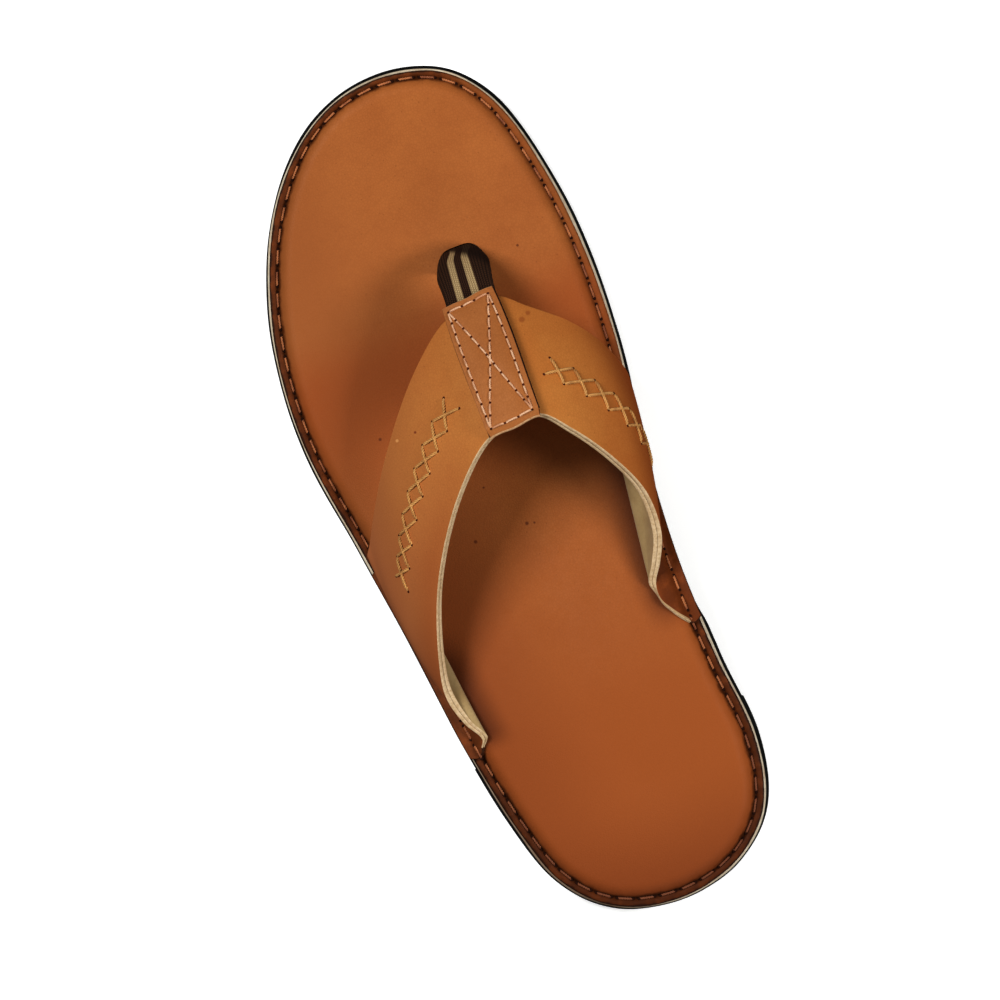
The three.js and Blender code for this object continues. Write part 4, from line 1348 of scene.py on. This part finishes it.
# Tab seam: pale pink-white machine stitches round the tab and across it, with a needle hole between
# every two of them.
TAB_STITCH = 4.1
TAB_HOLE_GAP = 0.9
TAB_STRAND_RADIUS = 0.2
TAB_TWIST = 1.3
TAB_THREAD_STEP = 0.3
TAB_STITCH_RISE = 0.3
TAB_HOLE_RADIUS = 0.46
TAB_HOLE_FLATNESS = 0.3
PALE_THREAD = (230, 188, 152)
PALE_SHADE = (204, 148, 108)
TAB_HOLE = (84, 38, 20)


def on_tab(place):
    """Point of the tab's outer face at a place on it in millimetres, and the normal there."""
    u, v = place
    share = u / tab_half
    return on_strap(RIDGE_LINE + share * TAB_SPAN, np.interp(v, tab_run, tab_depths), tab_top(share, u, v))


tab_stitches, tab_holes = [], []
for start, stop in TAB_SEAMS:
    start, run = np.array(start), np.array(stop) - np.array(start)
    count = round(np.linalg.norm(run) / TAB_STITCH)
    gap = TAB_HOLE_GAP / 2 / np.linalg.norm(run)
    for stitch in range(count):
        first, normal = on_tab(start + run * (stitch / count + gap))
        second, _ = on_tab(start + run * ((stitch + 1) / count - gap))
        tab_stitches.append((first, second, normal))
        tab_holes.append(on_tab(start + run * stitch / count))
pale_thread = make_thread("pale_thread", PALE_THREAD, PALE_SHADE)
tab_hole = make_needle_hole("tab_hole", TAB_HOLE)
tab_sizes = (TAB_STITCH_RISE, TAB_STRAND_RADIUS, TAB_TWIST, TAB_THREAD_STEP)
tab_seam = sew("tab_seam", tab_stitches, pale_thread, *tab_sizes)
tab_seam_holes = punch("tab_needle_holes", tab_holes, tab_hole, TAB_HOLE_RADIUS, TAB_HOLE_FLATNESS)
for piece in (tab_seam, tab_seam_holes):
    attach(piece, "root")

# Floor: a plain white studio sweep under the slipper. It takes the soft shadow and throws no light back
# on the sides.
FLOOR_REACH = 3.0
FLOOR_WHITE = (244, 244, 243)
FLOOR_SHADE = (238, 238, 237)
FLOOR_GLOW = 0.5


def make_floor():
    """Matt white paper."""
    paper = Finish("white_paper", 0.1)
    tooth = paper.noise(900, 3, 0.6)
    paper.shader.inputs["Emission Color"].default_value = srgb(FLOOR_WHITE)
    paper.shader.inputs["Emission Strength"].default_value = FLOOR_GLOW
    colour = paper.mix(paper.ramp(tooth, 0.3, 0.7, 0.0, 0.3), FLOOR_WHITE, FLOOR_SHADE)
    return paper.done(colour, paper.ramp(tooth, 0.3, 0.7, 0.9, 1.0), paper.bump(tooth, 0.1, 0.1))


floor_mesh = bpy.data.meshes.new("studio_floor")
floor_corners = [(x * FLOOR_REACH, y * FLOOR_REACH, 0.0) for x, y in ((-1, -1), (1, -1), (1, 1), (-1, 1))]
floor_mesh.from_pydata(floor_corners, [], [(0, 1, 2, 3)])
floor_mesh.materials.append(make_floor())
floor = bpy.data.objects.new("studio_floor", floor_mesh)
bpy.context.scene.collection.objects.link(floor)
floor.visible_diffuse = False
floor.visible_glossy = False

# Light: a softbox beyond the toe on the outer side, a lesser one on the inner side and a weak one behind
# the heel, so that the strap shades the footbed both before and behind it, and a faint even surround.
SOFTBOXES = (
    {"name": "toe_softbox", "place": (-0.43, 0.55, 1.0), "size": 0.45, "power": 13.0},
    {"name": "side_softbox", "place": (0.75, -0.28, 0.85), "size": 0.35, "power": 8.2},
    {"name": "heel_softbox", "place": (0.05, -1.0, 0.55), "size": 0.7, "power": 3.0},
)
SURROUND = 0.07
CONTRAST_GAMMA = 0.85
for box in SOFTBOXES:
    light = bpy.data.lights.new(box["name"], "AREA")
    light.size = box["size"]
    light.energy = box["power"]
    softbox = bpy.data.objects.new(box["name"], light)
    softbox.location = box["place"]
    softbox.rotation_euler = (-Vector(box["place"])).to_track_quat("-Z", "Y").to_euler()
    softbox.visible_camera = False
    bpy.context.scene.collection.objects.link(softbox)
surround = bpy.data.worlds.new("white_surround")
surround.use_nodes = True
surround.node_tree.nodes["Background"].inputs["Color"].default_value = (1.0, 1.0, 1.0, 1.0)
surround.node_tree.nodes["Background"].inputs["Strength"].default_value = SURROUND
bpy.context.scene.world = surround
bpy.context.scene.view_settings.view_transform = "Standard"
bpy.context.scene.view_settings.gamma = CONTRAST_GAMMA

# Camera: looks straight down from well above, beside the slipper's inner edge, turned so that the
# slipper lies aslant with its toe up and to the left.
CAMERA_PLACE = Vector((0.0551, 0.00925, 1.514))
CAMERA_TARGET = Vector((0.0, 0.0, 0.02))
CAMERA_ROLL = math.radians(20.5)
SENSOR_WIDTH = 36.0
FRAME_WIDTH = 0.322
CLIP_END = 20.0
camera_data = bpy.data.cameras.new("main_camera")
camera_data.sensor_width = SENSOR_WIDTH
camera_data.clip_end = CLIP_END
camera_data.lens = SENSOR_WIDTH * (CAMERA_PLACE - CAMERA_TARGET).length / FRAME_WIDTH
camera = bpy.data.objects.new("main_camera", camera_data)
backward = (CAMERA_PLACE - CAMERA_TARGET).normalized()
rightward = Vector((math.sin(CAMERA_ROLL), math.cos(CAMERA_ROLL), 0.0)).cross(backward).normalized()
turned = Matrix((rightward, backward.cross(rightward), backward)).transposed()
camera.matrix_world = Matrix.Translation(CAMERA_PLACE) @ turned.to_4x4()
bpy.context.scene.collection.objects.link(camera)
bpy.context.scene.camera = camera
